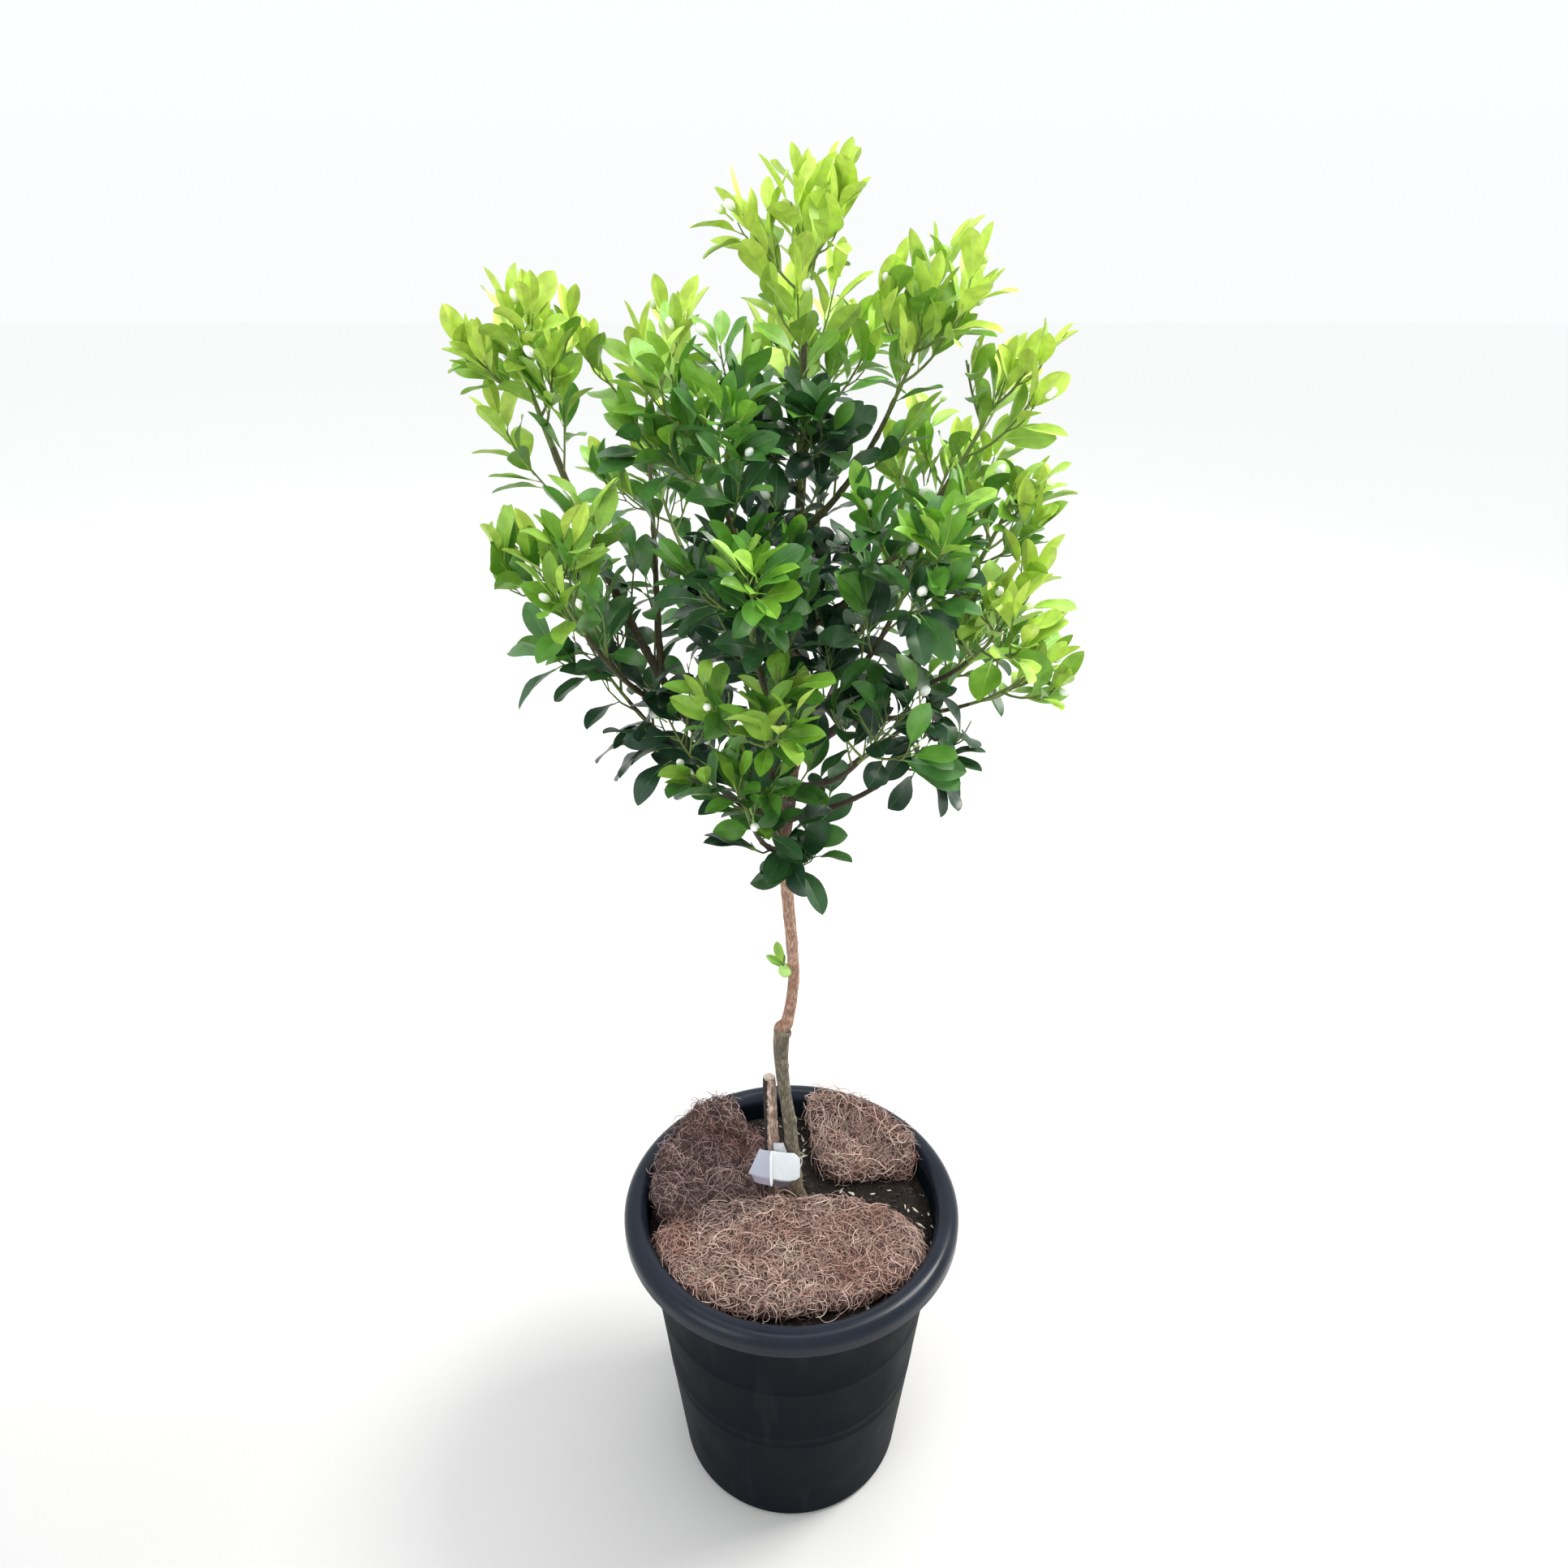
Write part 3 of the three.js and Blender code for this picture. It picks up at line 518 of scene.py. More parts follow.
def trunk_relief(k, angle, centre):
    """How far the stem's bark stands out: ridges, lumps, scars, knots and the flare at its foot."""
    height = centre.z
    round_it = Vector((math.cos(angle), math.sin(angle), 0))
    old_bark = 1.0 if height < GRAFT else 0.35
    ridges = noise.ridged_multi_fractal(round_it * 2.2 + Vector((0, 0, height * 38)), 1.0, 2.0, 3, 1.0, 2.0)
    out = 0.00042 * old_bark * (ridges - 1.2)
    out += 0.00035 * noise.noise(round_it * 1.1 + Vector((5, 0, height * 70)))
    for place, turn, size in scars + knots:
        if abs(height - place) < 0.012:
            aside = (angle - turn + math.pi) % (2 * math.pi) - math.pi
            out += size * math.exp(-((height - place) / 0.0038) ** 2 - (aside / 0.65) ** 2)
    foot = max(0.0, 1 - (height - heights[0]) / 0.022)
    return out + 0.0016 * foot * foot * (0.6 + math.cos(3 * angle + 0.6) + 0.5 * math.cos(5 * angle))


# Bark: the rootstock is grey-brown with greenish film and pale flakes; the top is smooth pinkish tan
# below and darker among the leaves. The fine grain runs up the stem.
def bark(name, tones, grain_scale, roughness, contrast=1.0):
    """A bark finish from (height, dark, light) tones, each holding from its height upward."""
    material, tree, where = start_material(name)
    run = add_node(tree, "ShaderNodeMapping", {"Vector": where, "Scale": (1, 1, 0.22)}).outputs["Vector"]
    grain = add_node(tree, "ShaderNodeTexNoise", {
        "Vector": run, "Scale": grain_scale, "Detail": 6, "Roughness": 0.65}).outputs["Fac"]
    patches = add_node(tree, "ShaderNodeTexNoise", {
        "Vector": where, "Scale": 130, "Detail": 3}).outputs["Fac"]
    clear = add_node(tree, "ShaderNodeMapRange", {
        "Value": grain, "From Min": 0.34, "From Max": 0.66}).outputs["Result"]
    strong = add_node(tree, "ShaderNodeMath", {0: clear, 1: contrast}, operation="MULTIPLY").outputs[0]
    spread = add_node(tree, "ShaderNodeMath", {
        0: strong, 1: patches, 2: -0.12 * contrast}, operation="MULTIPLY_ADD").outputs[0]
    if len(tones) > 1:
        height = add_node(tree, "ShaderNodeSeparateXYZ", {"Vector": where}).outputs["Z"]
    tone = None
    for above, dark, light in tones:
        here = add_node(tree, "ShaderNodeMix", {
            "Factor": spread, 6: linear(dark), 7: linear(light)}, data_type="RGBA").outputs[2]
        if tone is None:
            tone = here
            continue
        passed = add_node(tree, "ShaderNodeMapRange", {
            "Value": height, "From Min": above - 0.0015, "From Max": above + 0.0015}).outputs["Result"]
        tone = add_node(tree, "ShaderNodeMix", {
            "Factor": passed, 6: tone, 7: here}, data_type="RGBA").outputs[2]
    end_material(tree, {"Base Color": tone, "Roughness": roughness}, grain, 0.7, 0.0006)
    return material


trunk_bark = bark("Citrus bark", [
    (0, "#4c4639", "#aa9d86"), (GRAFT, "#7b5847", "#dcb79c"), (0.66, "#7f5b4a", "#e6c8ae"),
    (0.80, "#5b4335", "#9e7f67"), (0.95, "#3f3e2a", "#7b6c43")], 700, 0.75, 1.3)

trunk_limb = bark_limb(trunk_centres, trunk_radii, 28, trunk_relief)
trunk = make_piece("trunk_bark", *trunk_limb, trunk_bark, crease=50)
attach(trunk, "root")
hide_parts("trunk")

# ------------------------------------------------------------------------------ cut stump
# A second stem of the rootstock, sawn off at knee height beside the trunk and left to dry. Its bark is
# pale and flaking in front and painted nearly black on its left side as shade, and the cut end has
# weathered to grey.

stump_foot = Vector((-0.019, 0.025, mix_top + mat_gap))
stump_top = Vector((-0.0235, 0.023, 0.508))
stump_radius = 0.0068
stump_rings = 56
stump_centres = [stump_foot.lerp(stump_top, k / stump_rings) for k in range(stump_rings + 1)]
stump_radii = [stump_radius + 0.0037 * (1 - k / stump_rings) ** 2.5 for k in range(stump_rings + 1)]


def stump_relief(k, angle, centre):
    """How far the stump's flaking bark stands out. It is cut back a little round the sawn face."""
    round_it = Vector((math.cos(angle), math.sin(angle), 0))
    flakes = noise.ridged_multi_fractal(round_it * 2 + Vector((9, 0, centre.z * 45)), 1.0, 2.0, 3, 1.0, 2.0)
    cut_back = -0.0012 if k == stump_rings else 0
    return 0.0010 * (flakes - 1.2) + cut_back


def shader_and_tone(material):
    """The shader of a finished material, and the output that gives its base colour."""
    shader = next(node for node in material.node_tree.nodes if node.type == "BSDF_PRINCIPLED")
    return shader, shader.inputs["Base Color"].links[0].from_socket


stump_bark = bark("Dry rootstock bark, left side painted shade", [(0, "#84695d", "#e9d2c3")], 420, 0.85, 2.1)
# Its left side is painted nearly black, as painted shade.
tree = stump_bark.node_tree
shader, bark_own_tone = shader_and_tone(stump_bark)
where = add_node(tree, "ShaderNodeTexCoord").outputs["Object"]
aside = add_node(tree, "ShaderNodeSeparateXYZ", {"Vector": where}).outputs["X"]
patchy = add_node(tree, "ShaderNodeTexNoise", {"Vector": where, "Scale": 160, "Detail": 3}).outputs["Fac"]
edge = add_node(tree, "ShaderNodeMath", {0: patchy, 1: 0.006, 2: aside}, operation="MULTIPLY_ADD").outputs[0]
# Painted shade: the left side turns nearly black, with a ragged edge.
painted_shade_and_stain = add_node(tree, "ShaderNodeMapRange", {
    "Value": edge, "From Min": -0.0213, "From Max": -0.0230}).outputs["Result"]
tone = add_node(tree, "ShaderNodeMix", {
    "Factor": painted_shade_and_stain, 6: bark_own_tone, 7: linear("#231a14")}, data_type="RGBA").outputs[2]
tree.links.new(tone, shader.inputs["Base Color"])
stump_limb = bark_limb(stump_centres, stump_radii, 24, stump_relief)
stump = make_piece("stump_bark", *stump_limb, stump_bark, crease=50)
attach(stump, "root")
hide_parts("cut_stump")

# The sawn face is a thin disc of end grain, dished towards its heart and weathered to grey, with faint
# year rings.
end_grain, tree, where = start_material("Weathered end grain")
centred = add_node(tree, "ShaderNodeMapping", {"Vector": where, "Location": -stump_top}).outputs["Vector"]
year_rings = add_node(tree, "ShaderNodeTexWave", {
    "Vector": centred, "Scale": 160, "Distortion": 1.5, "Detail": 2},
    wave_type="RINGS", rings_direction="Z").outputs["Fac"]
tone = add_node(tree, "ShaderNodeMix", {
    "Factor": year_rings, 6: linear("#857c6f"), 7: linear("#b4aa9b")}, data_type="RGBA").outputs[2]
end_material(tree, {"Base Color": tone, "Roughness": 0.8}, year_rings, 0.3, 0.0003)


def sawn_disc():
    """A disc that stands a hair above the stump's end, a little ragged and dished."""
    sides = 24
    places = []
    for share, rise in ((0.86, -0.0006), (0.88, 0.0004), (0.5, 0.0001)):
        for i in range(sides):
            angle = 2 * math.pi * i / sides
            ragged = 1 + 0.05 * math.sin(5 * angle) + 0.04 * math.sin(9 * angle + 1)
            reach = stump_radius * share * ragged
            places.append(stump_top + Vector((reach * math.cos(angle), reach * math.sin(angle), rise)))
    places += [stump_top + Vector((0, 0, -0.0003)), stump_top + Vector((0, 0, -0.0006))]
    faces = []
    for i in range(sides):
        j = (i + 1) % sides
        faces += [(i, j, sides + j, sides + i), (sides + i, sides + j, 2 * sides + j, 2 * sides + i)]
        faces += [(2 * sides + i, 2 * sides + j, 3 * sides), (j, i, 3 * sides + 1)]
    return places, faces


sawn = make_piece("stump_sawn_face", *sawn_disc(), end_grain)
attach(sawn, "root")
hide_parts("cut_stump")

# ------------------------------------------------------------------------------ boughs
# The head's limbs. Each leaves the trunk, or an older bough, from a swollen collar, bends out and up,
# and ends where its foliage starts. Their bark is young: olive brown, finely ridged, with leaf scars.

# Name, the limb that it grows on, the height where it leaves that, then the turn (degrees from +X
# towards +Y), reach and height of its tip, its radius, about half the height of its foliage, how fresh
# that is, from 0 for old shaded leaves to 1 for the newest growth, and how thickly it is leafed.
boughs = [
    ("left_main", "trunk", 0.800, 177, 0.188, 1.150, 0.0048, 0.074, 0.72, 1.30),
    ("left_inner", "left_main", 0.960, 162, 0.122, 1.138, 0.0030, 0.076, 0.80, 0.66),
    ("left_front", "left_main", 0.925, -152, 0.178, 1.030, 0.0030, 0.072, 0.54, 0.85),
    ("left_low", "left_main", 0.868, -177, 0.140, 0.945, 0.0030, 0.064, 0.26, 0.70),
    ("left_foot", "trunk", 0.816, -158, 0.084, 0.892, 0.0030, 0.054, 0.08, 0.55),
    ("front_foot", "trunk", 0.788, -116, 0.078, 0.858, 0.0032, 0.058, 0.40, 0.80),
    ("front_low", "trunk", 0.838, -99, 0.124, 0.945, 0.0034, 0.060, 0.56, 0.90),
    ("front_low_right", "trunk", 0.858, -63, 0.110, 0.930, 0.0030, 0.058, 0.22, 0.60),
    ("right_foot", "trunk", 0.822, -20, 0.092, 0.888, 0.0032, 0.058, 0.10, 0.34),
    ("right_low_back", "trunk", 0.842, 24, 0.138, 0.918, 0.0032, 0.062, 0.34, 0.36),
    ("right_main", "trunk", 0.885, 1, 0.142, 1.048, 0.0046, 0.072, 0.70, 0.90),
    ("right_low", "right_main", 0.920, -9, 0.148, 0.948, 0.0028, 0.062, 0.64, 0.70),
    ("right_front", "right_main", 0.950, -34, 0.158, 1.010, 0.0028, 0.064, 0.74, 0.85),
    ("front_right", "trunk", 0.925, -58, 0.130, 1.050, 0.0034, 0.068, 0.33, 1.20),
    ("front_mid", "trunk", 0.895, -103, 0.134, 1.040, 0.0032, 0.066, 0.34, 1.40),
    ("front_main", "trunk", 0.975, -116, 0.112, 1.130, 0.0036, 0.074, 0.44, 1.28),
    ("right_upper", "trunk", 1.000, 3, 0.126, 1.132, 0.0036, 0.076, 0.80, 0.70),
    ("right_shoulder", "trunk", 1.085, -12, 0.076, 1.190, 0.0030, 0.068, 0.78, 1.00),
    ("back_main", "trunk", 0.985, 76, 0.112, 1.140, 0.0036, 0.078, 0.66, 0.90),
    ("back_left", "trunk", 0.905, 128, 0.166, 1.040, 0.0038, 0.076, 0.52, 0.88),
    ("back_right", "trunk", 0.940, 47, 0.166, 1.050, 0.0038, 0.076, 0.60, 0.92),
    ("back_low", "trunk", 0.828, 112, 0.112, 0.905, 0.0034, 0.066, 0.20, 0.60),
    ("back_low_right", "trunk", 0.872, 68, 0.138, 0.940, 0.0032, 0.064, 0.32, 0.42),
]
BOUGH_STEPS = 4
TIP_SHARE = 0.55  # a limb's radius at its tip, as a share of that at its foot
RINGS_APART = 0.004
BEND_OUTWARD, BEND_UP = 0.62, 0.36
COLLAR_SHARE, COLLAR_REACH = 0.6, 0.006  # how much stouter the collar is, and how far it runs out
PARENT_RADIUS = 0.003  # of a bough that bears another
NODES_APART = 0.024  # leaf scars along a limb
SPIRAL = 2.4  # radians from one leaf scar, or twig, to the next round a limb


def at_height(path, height):
    """The point of a rising path of (place, radius) at a height."""
    k = next((k for k, (place, _) in enumerate(path) if place.z >= height), len(path) - 1)
    low, high = path[max(k, 1) - 1][0], path[max(k, 1)][0]
    return low.lerp(high, (height - low.z) / (high.z - low.z))


def outward(turn):
    """A level heading at a turn in degrees."""
    return Vector((math.cos(math.radians(turn)), math.sin(math.radians(turn)), 0))


def on_curve(curve, share):
    """A point of a quadratic curve of (start, bend, end)."""
    start, bend, end = curve
    return start * (1 - share) ** 2 + bend * (2 * share * (1 - share)) + end * share ** 2


def along_curve(curve, share):
    """The direction of a quadratic curve of (start, bend, end)."""
    start, bend, end = curve
    return ((bend - start) * (1 - share) + (end - bend) * share).normalized()


paths = {"trunk": [(Vector((x, y, z)), radius) for z, x, y, radius in trunk_stations]}
bough_curves = {}
young_bark = bark("Young citrus bark", [
    (0, "#33291f", "#6f5d47"), (0.93, "#38331f", "#75693f"), (1.05, "#3f4323", "#84793f")], 900, 0.7)
for seed, (name, parent, fork, turn, reach, height, radius, size, fresh, thick) in enumerate(boughs):
    root = at_height(paths[parent], fork)
    tip = outward(turn) * reach
    tip.z = height
    bend = root.lerp(tip, BEND_OUTWARD)
    bend.z = root.z + (tip.z - root.z) * BEND_UP
    curve = bough_curves[name] = (root, bend, tip)
    paths[name] = [(on_curve(curve, k / BOUGH_STEPS), radius * (1 - (1 - TIP_SHARE) * k / BOUGH_STEPS))
                   for k in range(BOUGH_STEPS + 1)]
    rings = max(20, round((tip - root).length / RINGS_APART))
    parent_radius = np.interp(fork, table[:, 0], table[:, 3]) if parent == "trunk" else PARENT_RADIUS
    centres = [on_curve(curve, k / rings) for k in range(rings + 1)]
    run = [(centre - root).length for centre in centres]
    radii = []
    for k, far in enumerate(run):
        collar = COLLAR_SHARE * radius * math.exp(-max(0, far - parent_radius) / COLLAR_REACH)
        radii.append(radius * (1 - (1 - TIP_SHARE) * k / rings) + collar)

    def bough_relief(k, angle, centre, seed=seed):
        """How far young bark stands out: fine ridges, swollen nodes, and a leaf scar on each."""
        round_it = Vector((math.cos(angle), math.sin(angle), 0))
        ridges = noise.noise(round_it * 1.6 + Vector((seed, 0, run[k] * 120)))
        node = math.exp(-(((run[k] + 0.01) % NODES_APART - NODES_APART / 2) / 0.0022) ** 2)
        scar_turn = SPIRAL * (run[k] // NODES_APART)
        scar = node * math.exp(-((angle - scar_turn + 20 * math.pi) % (2 * math.pi) - 3) ** 2)
        return radii[k] * (0.10 * ridges + 0.12 * node + 0.22 * scar)

    limb = bark_limb(centres, radii, 10, bough_relief)
    bough = make_piece("limb_" + name, *limb, young_bark, crease=60)
    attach(bough, "root")
    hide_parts("bough_" + name)

# ------------------------------------------------------------------------------ twigs
# Green wood of the last two years. Every mass of foliage grows from one stem at its bough's tip or on
# the trunk: shoots leave the stem in turn and turn up to the light, finer twigs leave the shoots, and
# short spurs stand along the boughs and the upper trunk.

# Foliage on the trunk itself: name, height, turn, how steeply it rises, size, how fresh and how thick.
trunk_shoots = [
    ("foot_shoot", 0.778, -72, 0.7, 0.046, 0.10, 0.55),
    ("heart", 1.015, -165, 0.6, 0.062, 0.08, 1.50),
    ("leader_front", 1.120, -96, 1.1, 0.062, 0.34, 1.25),
    ("stem_sprout", 0.642, -165, 0.9, 0.020, 0.45, 1.00),
]
SHOOTS = 5  # with the stem itself
STEM_LENGTH, SHOOT_LENGTH = 1.08, 0.88  # of the foliage's size
MIDDLE = 0.72  # from the stem's foot to the middle of the foliage
SHOOTS_FROM, SHOOTS_OVER = 0.16, 0.66  # where shoots leave the stem, as shares of its length
SHORTEN = 0.35  # how much shorter the last shoot is than the first
SHOOT_ANGLE = 0.95  # radians away from the stem
STEM_LIFT, SHOOT_LIFT, TWIG_LIFT = 0.7, 1.0, 2.2  # how strongly each kind turns upward
GROW_ON = 1.2  # small leaves reach less far than the large ones they stand for, so shoots grow on
# Real leaves stop a little short of the reach of those large ones, most of all at the left and the top.
SHORT_LOW, SHORT_HIGH = (0.024, 0.004, 0), (0.010, 0.004, 0.014)
SHORT_OF_SOLID = {"left_front": (0.045, 0, 0)}  # and how far a mass stops short on its low sides
SHOOT_SHARES = (1, 0.85, 0.7, 0.55)  # the lengths tried for a shoot
# Radii at the foot and tip of each kind of twig. A stem is as stout at its foot as what bears it.
STEM_TIP, SHOOT_GIRTH = 0.0009, (0.0012, 0.0007)
FINE_GIRTH, SPUR_GIRTH = (0.0008, 0.0005), (0.0010, 0.0005)
FULL_FROM = 0.7  # how thick a mass is that bears two fine twigs on a shoot, not one
SPUR_APART, SPUR_LONGEST = 0.023, 0.075
BARE_SHARE = 0.24  # of a bough, next to the trunk
CROWN_FROM = 0.86  # height from which spurs stand on the trunk
CLEAR_OF_LIMB = 0.003
PAST_TIP = 0.0003  # from a bough's end to the stem of its foliage
UP = Vector((0, 0, 1))


def seeded_draws(seed):
    """Draws between two bounds, the same each time for a seed."""
    state = seed * 7919 + 101

    def draw(low, high):
        """The next draw."""
        nonlocal state
        state = state * 48271 % 2147483647
        return low + (high - low) * state / 2147483647

    draw(0, 1)
    return draw


def start_mass(name, place, heading, size, fresh, thick, girth, shoots=SHOOTS, leaf_scale=1.0):
    """A mass of foliage: where its stem starts and heads, what it bears, and the box of its solid."""
    low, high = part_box("foliage_" + name)
    low = low + Vector(SHORT_OF_SOLID.get(name, (0, 0, 0)))
    return {"name": name, "place": place, "heading": heading, "size": size, "fresh": fresh,
            "thick": thick, "girth": girth, "shoots": shoots, "leaf_scale": leaf_scale,
            "middle": place + heading * (MIDDLE * size), "low": low, "high": high}


def past_tip(path):
    """The place just past a limb's end, and the way on."""
    heading = (path[-1][0] - path[-2][0]).normalized()
    return path[-1][0] + heading * PAST_TIP, heading


masses = []
for name, _, _, _, _, _, radius, size, fresh, thick in boughs:
    masses.append(start_mass(name, *past_tip(paths[name]), size, fresh, thick, radius * TIP_SHARE))
for name, height, turn, rise, size, fresh, thick in trunk_shoots:
    place = at_height(paths["trunk"], height)
    heading = (outward(turn) + UP * rise).normalized()
    # The sprout has a thinner stem, with no shoots and small leaves.
    girth_on = (0.0018, 1, 0.55) if name == "stem_sprout" else (0.0024,)
    masses.append(start_mass(name, place, heading, size, fresh, thick, *girth_on))
masses.append(start_mass("top", past_tip(paths["trunk"])[0], UP.copy(), 0.076, 1.0, 0.9, 0.0026))

middles = np.array([mass["middle"] for mass in masses])
sizes = np.array([mass["size"] for mass in masses])
limbs = [(low, high, radius) for path in paths.values() for (low, radius), (high, _) in zip(path, path[1:])]
limb_starts, limb_ends, limb_radii = (np.array(values) for values in zip(*limbs))
crown_low = np.array(cad_box[0]) + SHORT_LOW
crown_high = np.array(cad_box[1]) - SHORT_HIGH


def fits(number, points, from_others, from_limbs, past_box=0.005):
    """True if every point lies in a mass's own space: nearer to its middle than to any other's, by the
    size of each, clear of every limb, within the crown, and hardly past the reach of its solid."""
    points = np.array(points)
    box_low = np.array(masses[number]["low"]) - past_box
    box_high = np.array(masses[number]["high"]) + past_box
    for low, high in ((crown_low, crown_high), (box_low, box_high)):
        if (points < low).any() or (points > high).any():
            return False
    power = ((points[:, None] - middles) ** 2).sum(2) - sizes ** 2
    apart = np.linalg.norm(middles - middles[number], axis=1)
    apart[number] = 1
    margin = (power - power[:, [number]]) / (2 * apart)
    margin[:, number] = 1
    if margin.min() <= from_others:
        return False
    along = limb_ends - limb_starts
    share = ((points[:, None] - limb_starts) * along).sum(2) / (along ** 2).sum(1)
    nearest = limb_starts + np.clip(share, 0, 1)[..., None] * along
    return (np.linalg.norm(points[:, None] - nearest, axis=2) > limb_radii + from_limbs).all()


def leaning(along, out, angle):
    """A heading that leans away from one direction towards another."""
    return (along * math.cos(angle) + out * math.sin(angle)).normalized()


def twig_curve(start, heading, length, lift):
    """A curve of (start, bend, end) that sets out along a heading and turns up by its lift."""
    end = (heading + UP * lift).normalized()
    bend = start + heading * (0.45 * length)
    return start, bend, bend + end * (0.55 * length)


def out_of(curve, share, face, turn):
    """The way out of a twig through one of three faces, turned a little to one side."""
    stops = [on_curve(curve, k / 2) for k in range(3)]
    turned_by = Quaternion()
    before = UP
    for k in range(int(2 * share + 0.5) + 1):
        along = (stops[min(k + 1, 2)] - stops[max(k - 1, 0)]).normalized()
        turned_by = before.rotation_difference(along) @ turned_by
        before = along
    angle = 2 * math.pi * (face % 3 + 0.5) / 3
    out = turned_by @ Vector((math.cos(angle), math.sin(angle), 0))
    return Quaternion(along_curve(curve, share), turn) @ out


def longest_fit(number, start, heading, length, lift, room):
    """The longest of a few lengths of a shoot that keeps to its mass's space, if one does."""
    for share in SHOOT_SHARES:
        curve = twig_curve(start, heading, share * length, lift)
        points = [on_curve(curve, k / 6) for k in range(2, 7)]
        if fits(number, points, room, CLEAR_OF_LIMB):
            return curve
    return None


# Each twig is its mass, its curve, its radius at the foot and tip, and its order: 0 for the stem of a
# mass, 1 for a shoot, 2 for a finer twig and 3 for a spur.
twigs = []
for number, mass in enumerate(masses):
    draw = seeded_draws(number + 1)
    stem = twig_curve(mass["place"], mass["heading"], STEM_LENGTH * mass["size"], STEM_LIFT)
    first_face = int(draw(0, 3))
    twigs.append({"mass": number, "curve": stem, "girth": (mass["girth"], STEM_TIP), "order": 0})
    for k in range(mass["shoots"] - 1):
        share = SHOOTS_FROM + SHOOTS_OVER * k / (mass["shoots"] - 1) + draw(-0.03, 0.03)
        out = out_of(stem, share, first_face + k, draw(-0.4, 0.4))
        heading = leaning(along_curve(stem, share), out, SHOOT_ANGLE)
        length = SHOOT_LENGTH * mass["size"] * (1 - SHORTEN * share) * draw(0.9, 1.1)
        start = on_curve(stem, share)
        shoot = longest_fit(number, start, heading, length * GROW_ON, SHOOT_LIFT, 0.002) or longest_fit(
            number, start, leaning(heading, mass["heading"], 0.5), length, SHOOT_LIFT, 0.001)
        if shoot:
            twigs.append({"mass": number, "curve": shoot, "girth": SHOOT_GIRTH, "order": 1})
    # Finer twigs stand on the stem and on each shoot, in a spiral.
    if mass["shoots"] > 1:
        for twig in [twig for twig in twigs if twig["mass"] == number]:
            spin = draw(0, 6.28)
            for k, share in enumerate((0.36, 0.68) if mass["thick"] > FULL_FROM else (0.6,)):
                along = along_curve(twig["curve"], share)
                out = Quaternion(along, spin + SPIRAL * k) @ along.orthogonal().normalized()
                heading = leaning(along, out, draw(0.45, 0.80))
                length = draw(0.028, 0.044) * (1.1 - 0.35 * share)
                fine = longest_fit(number, on_curve(twig["curve"], share), heading, length, TWIG_LIFT, 0.001)
                if fine:
                    twigs.append({"mass": number, "curve": fine, "girth": FINE_GIRTH, "order": 2})

# Each limb that bears spurs: its curve, its radius, the share of it that is bare, and their longest.
spur_runs = [(bough_curves[name], radius, BARE_SHARE, SPUR_LONGEST * thick)
             for name, _, _, _, _, _, radius, _, _, thick in boughs]
crown_trunk = [stop for stop in paths["trunk"] if stop[0].z > CROWN_FROM]
spur_runs += [((low, low.lerp(high, 0.5), high), radius, 0.0, 0.060 if low.z < 1.1 else 0.105)
              for (low, radius), (high, _) in zip(crown_trunk, crown_trunk[1:])]
for seed, (curve, radius, bare, longest) in enumerate(spur_runs):
    draw = seeded_draws(300 + seed)
    spin = draw(0, 6.28)
    count = round((1 - bare) * (curve[2] - curve[0]).length / SPUR_APART)
    for k in range(count):
        share = bare + (0.98 - bare) * (k + 0.5) / count
        along = along_curve(curve, share)
        out = Quaternion(along, spin + SPIRAL * k) @ along.orthogonal().normalized()
        heading = (leaning(along, out, draw(0.70, 1.10)) + UP * 0.3).normalized()
        start = on_curve(curve, share) + heading * (0.6 * radius * (1 - 0.45 * share))
        for length in (draw(0.6, 1) * longest, 0.5 * longest):
            spur = twig_curve(start, heading, length, TWIG_LIFT)
            number = int((((middles - np.array(spur[2])) ** 2).sum(1) - sizes ** 2).argmin())
            if masses[number]["shoots"] == 1 or draw(0, 1) > 0.85 * masses[number]["thick"]:
                break
            if fits(number, [on_curve(spur, 5 / 6), spur[2]], -0.010, 0.001, 0.05):
                twigs.append({"mass": number, "curve": spur, "girth": SPUR_GIRTH, "order": 3})
                break

# Fine green wood, matt, with a grain that runs up it.
green_wood, tree, where = start_material("Green citrus wood")
run = add_node(tree, "ShaderNodeMapping", {"Vector": where, "Scale": (1, 1, 0.3)}).outputs["Vector"]
grain = add_node(tree, "ShaderNodeTexNoise", {"Vector": run, "Scale": 600, "Detail": 4}).outputs["Fac"]
tone = add_node(tree, "ShaderNodeMix", {
    "Factor": grain, 6: linear("#43572a"), 7: linear("#7f8f45")}, data_type="RGBA").outputs[2]
end_material(tree, {"Base Color": tone, "Roughness": 0.6}, grain, 0.5, 0.0003)

# The twigs' middle lines, with their girth, are swept into round tapering wood.
lines = bpy.data.meshes.new("twig_lines")
places, edges, girths = [], [], []
for twig in twigs:
    steps = (7, 5, 3, 3)[twig["order"]]
    foot, tip = twig["girth"]
    for k in range(steps + 1):
        if k:
            edges.append((len(places) - 1, len(places)))
        places.append(on_curve(twig["curve"], k / steps))
        girths.append(foot + (tip - foot) * k / steps)
lines.from_pydata(places, edges, [])
lines.attributes.new("girth", "FLOAT", "POINT").data.foreach_set("value", girths)
lines = bpy.data.objects.new("twig_lines", lines)
bpy.context.scene.collection.objects.link(lines)

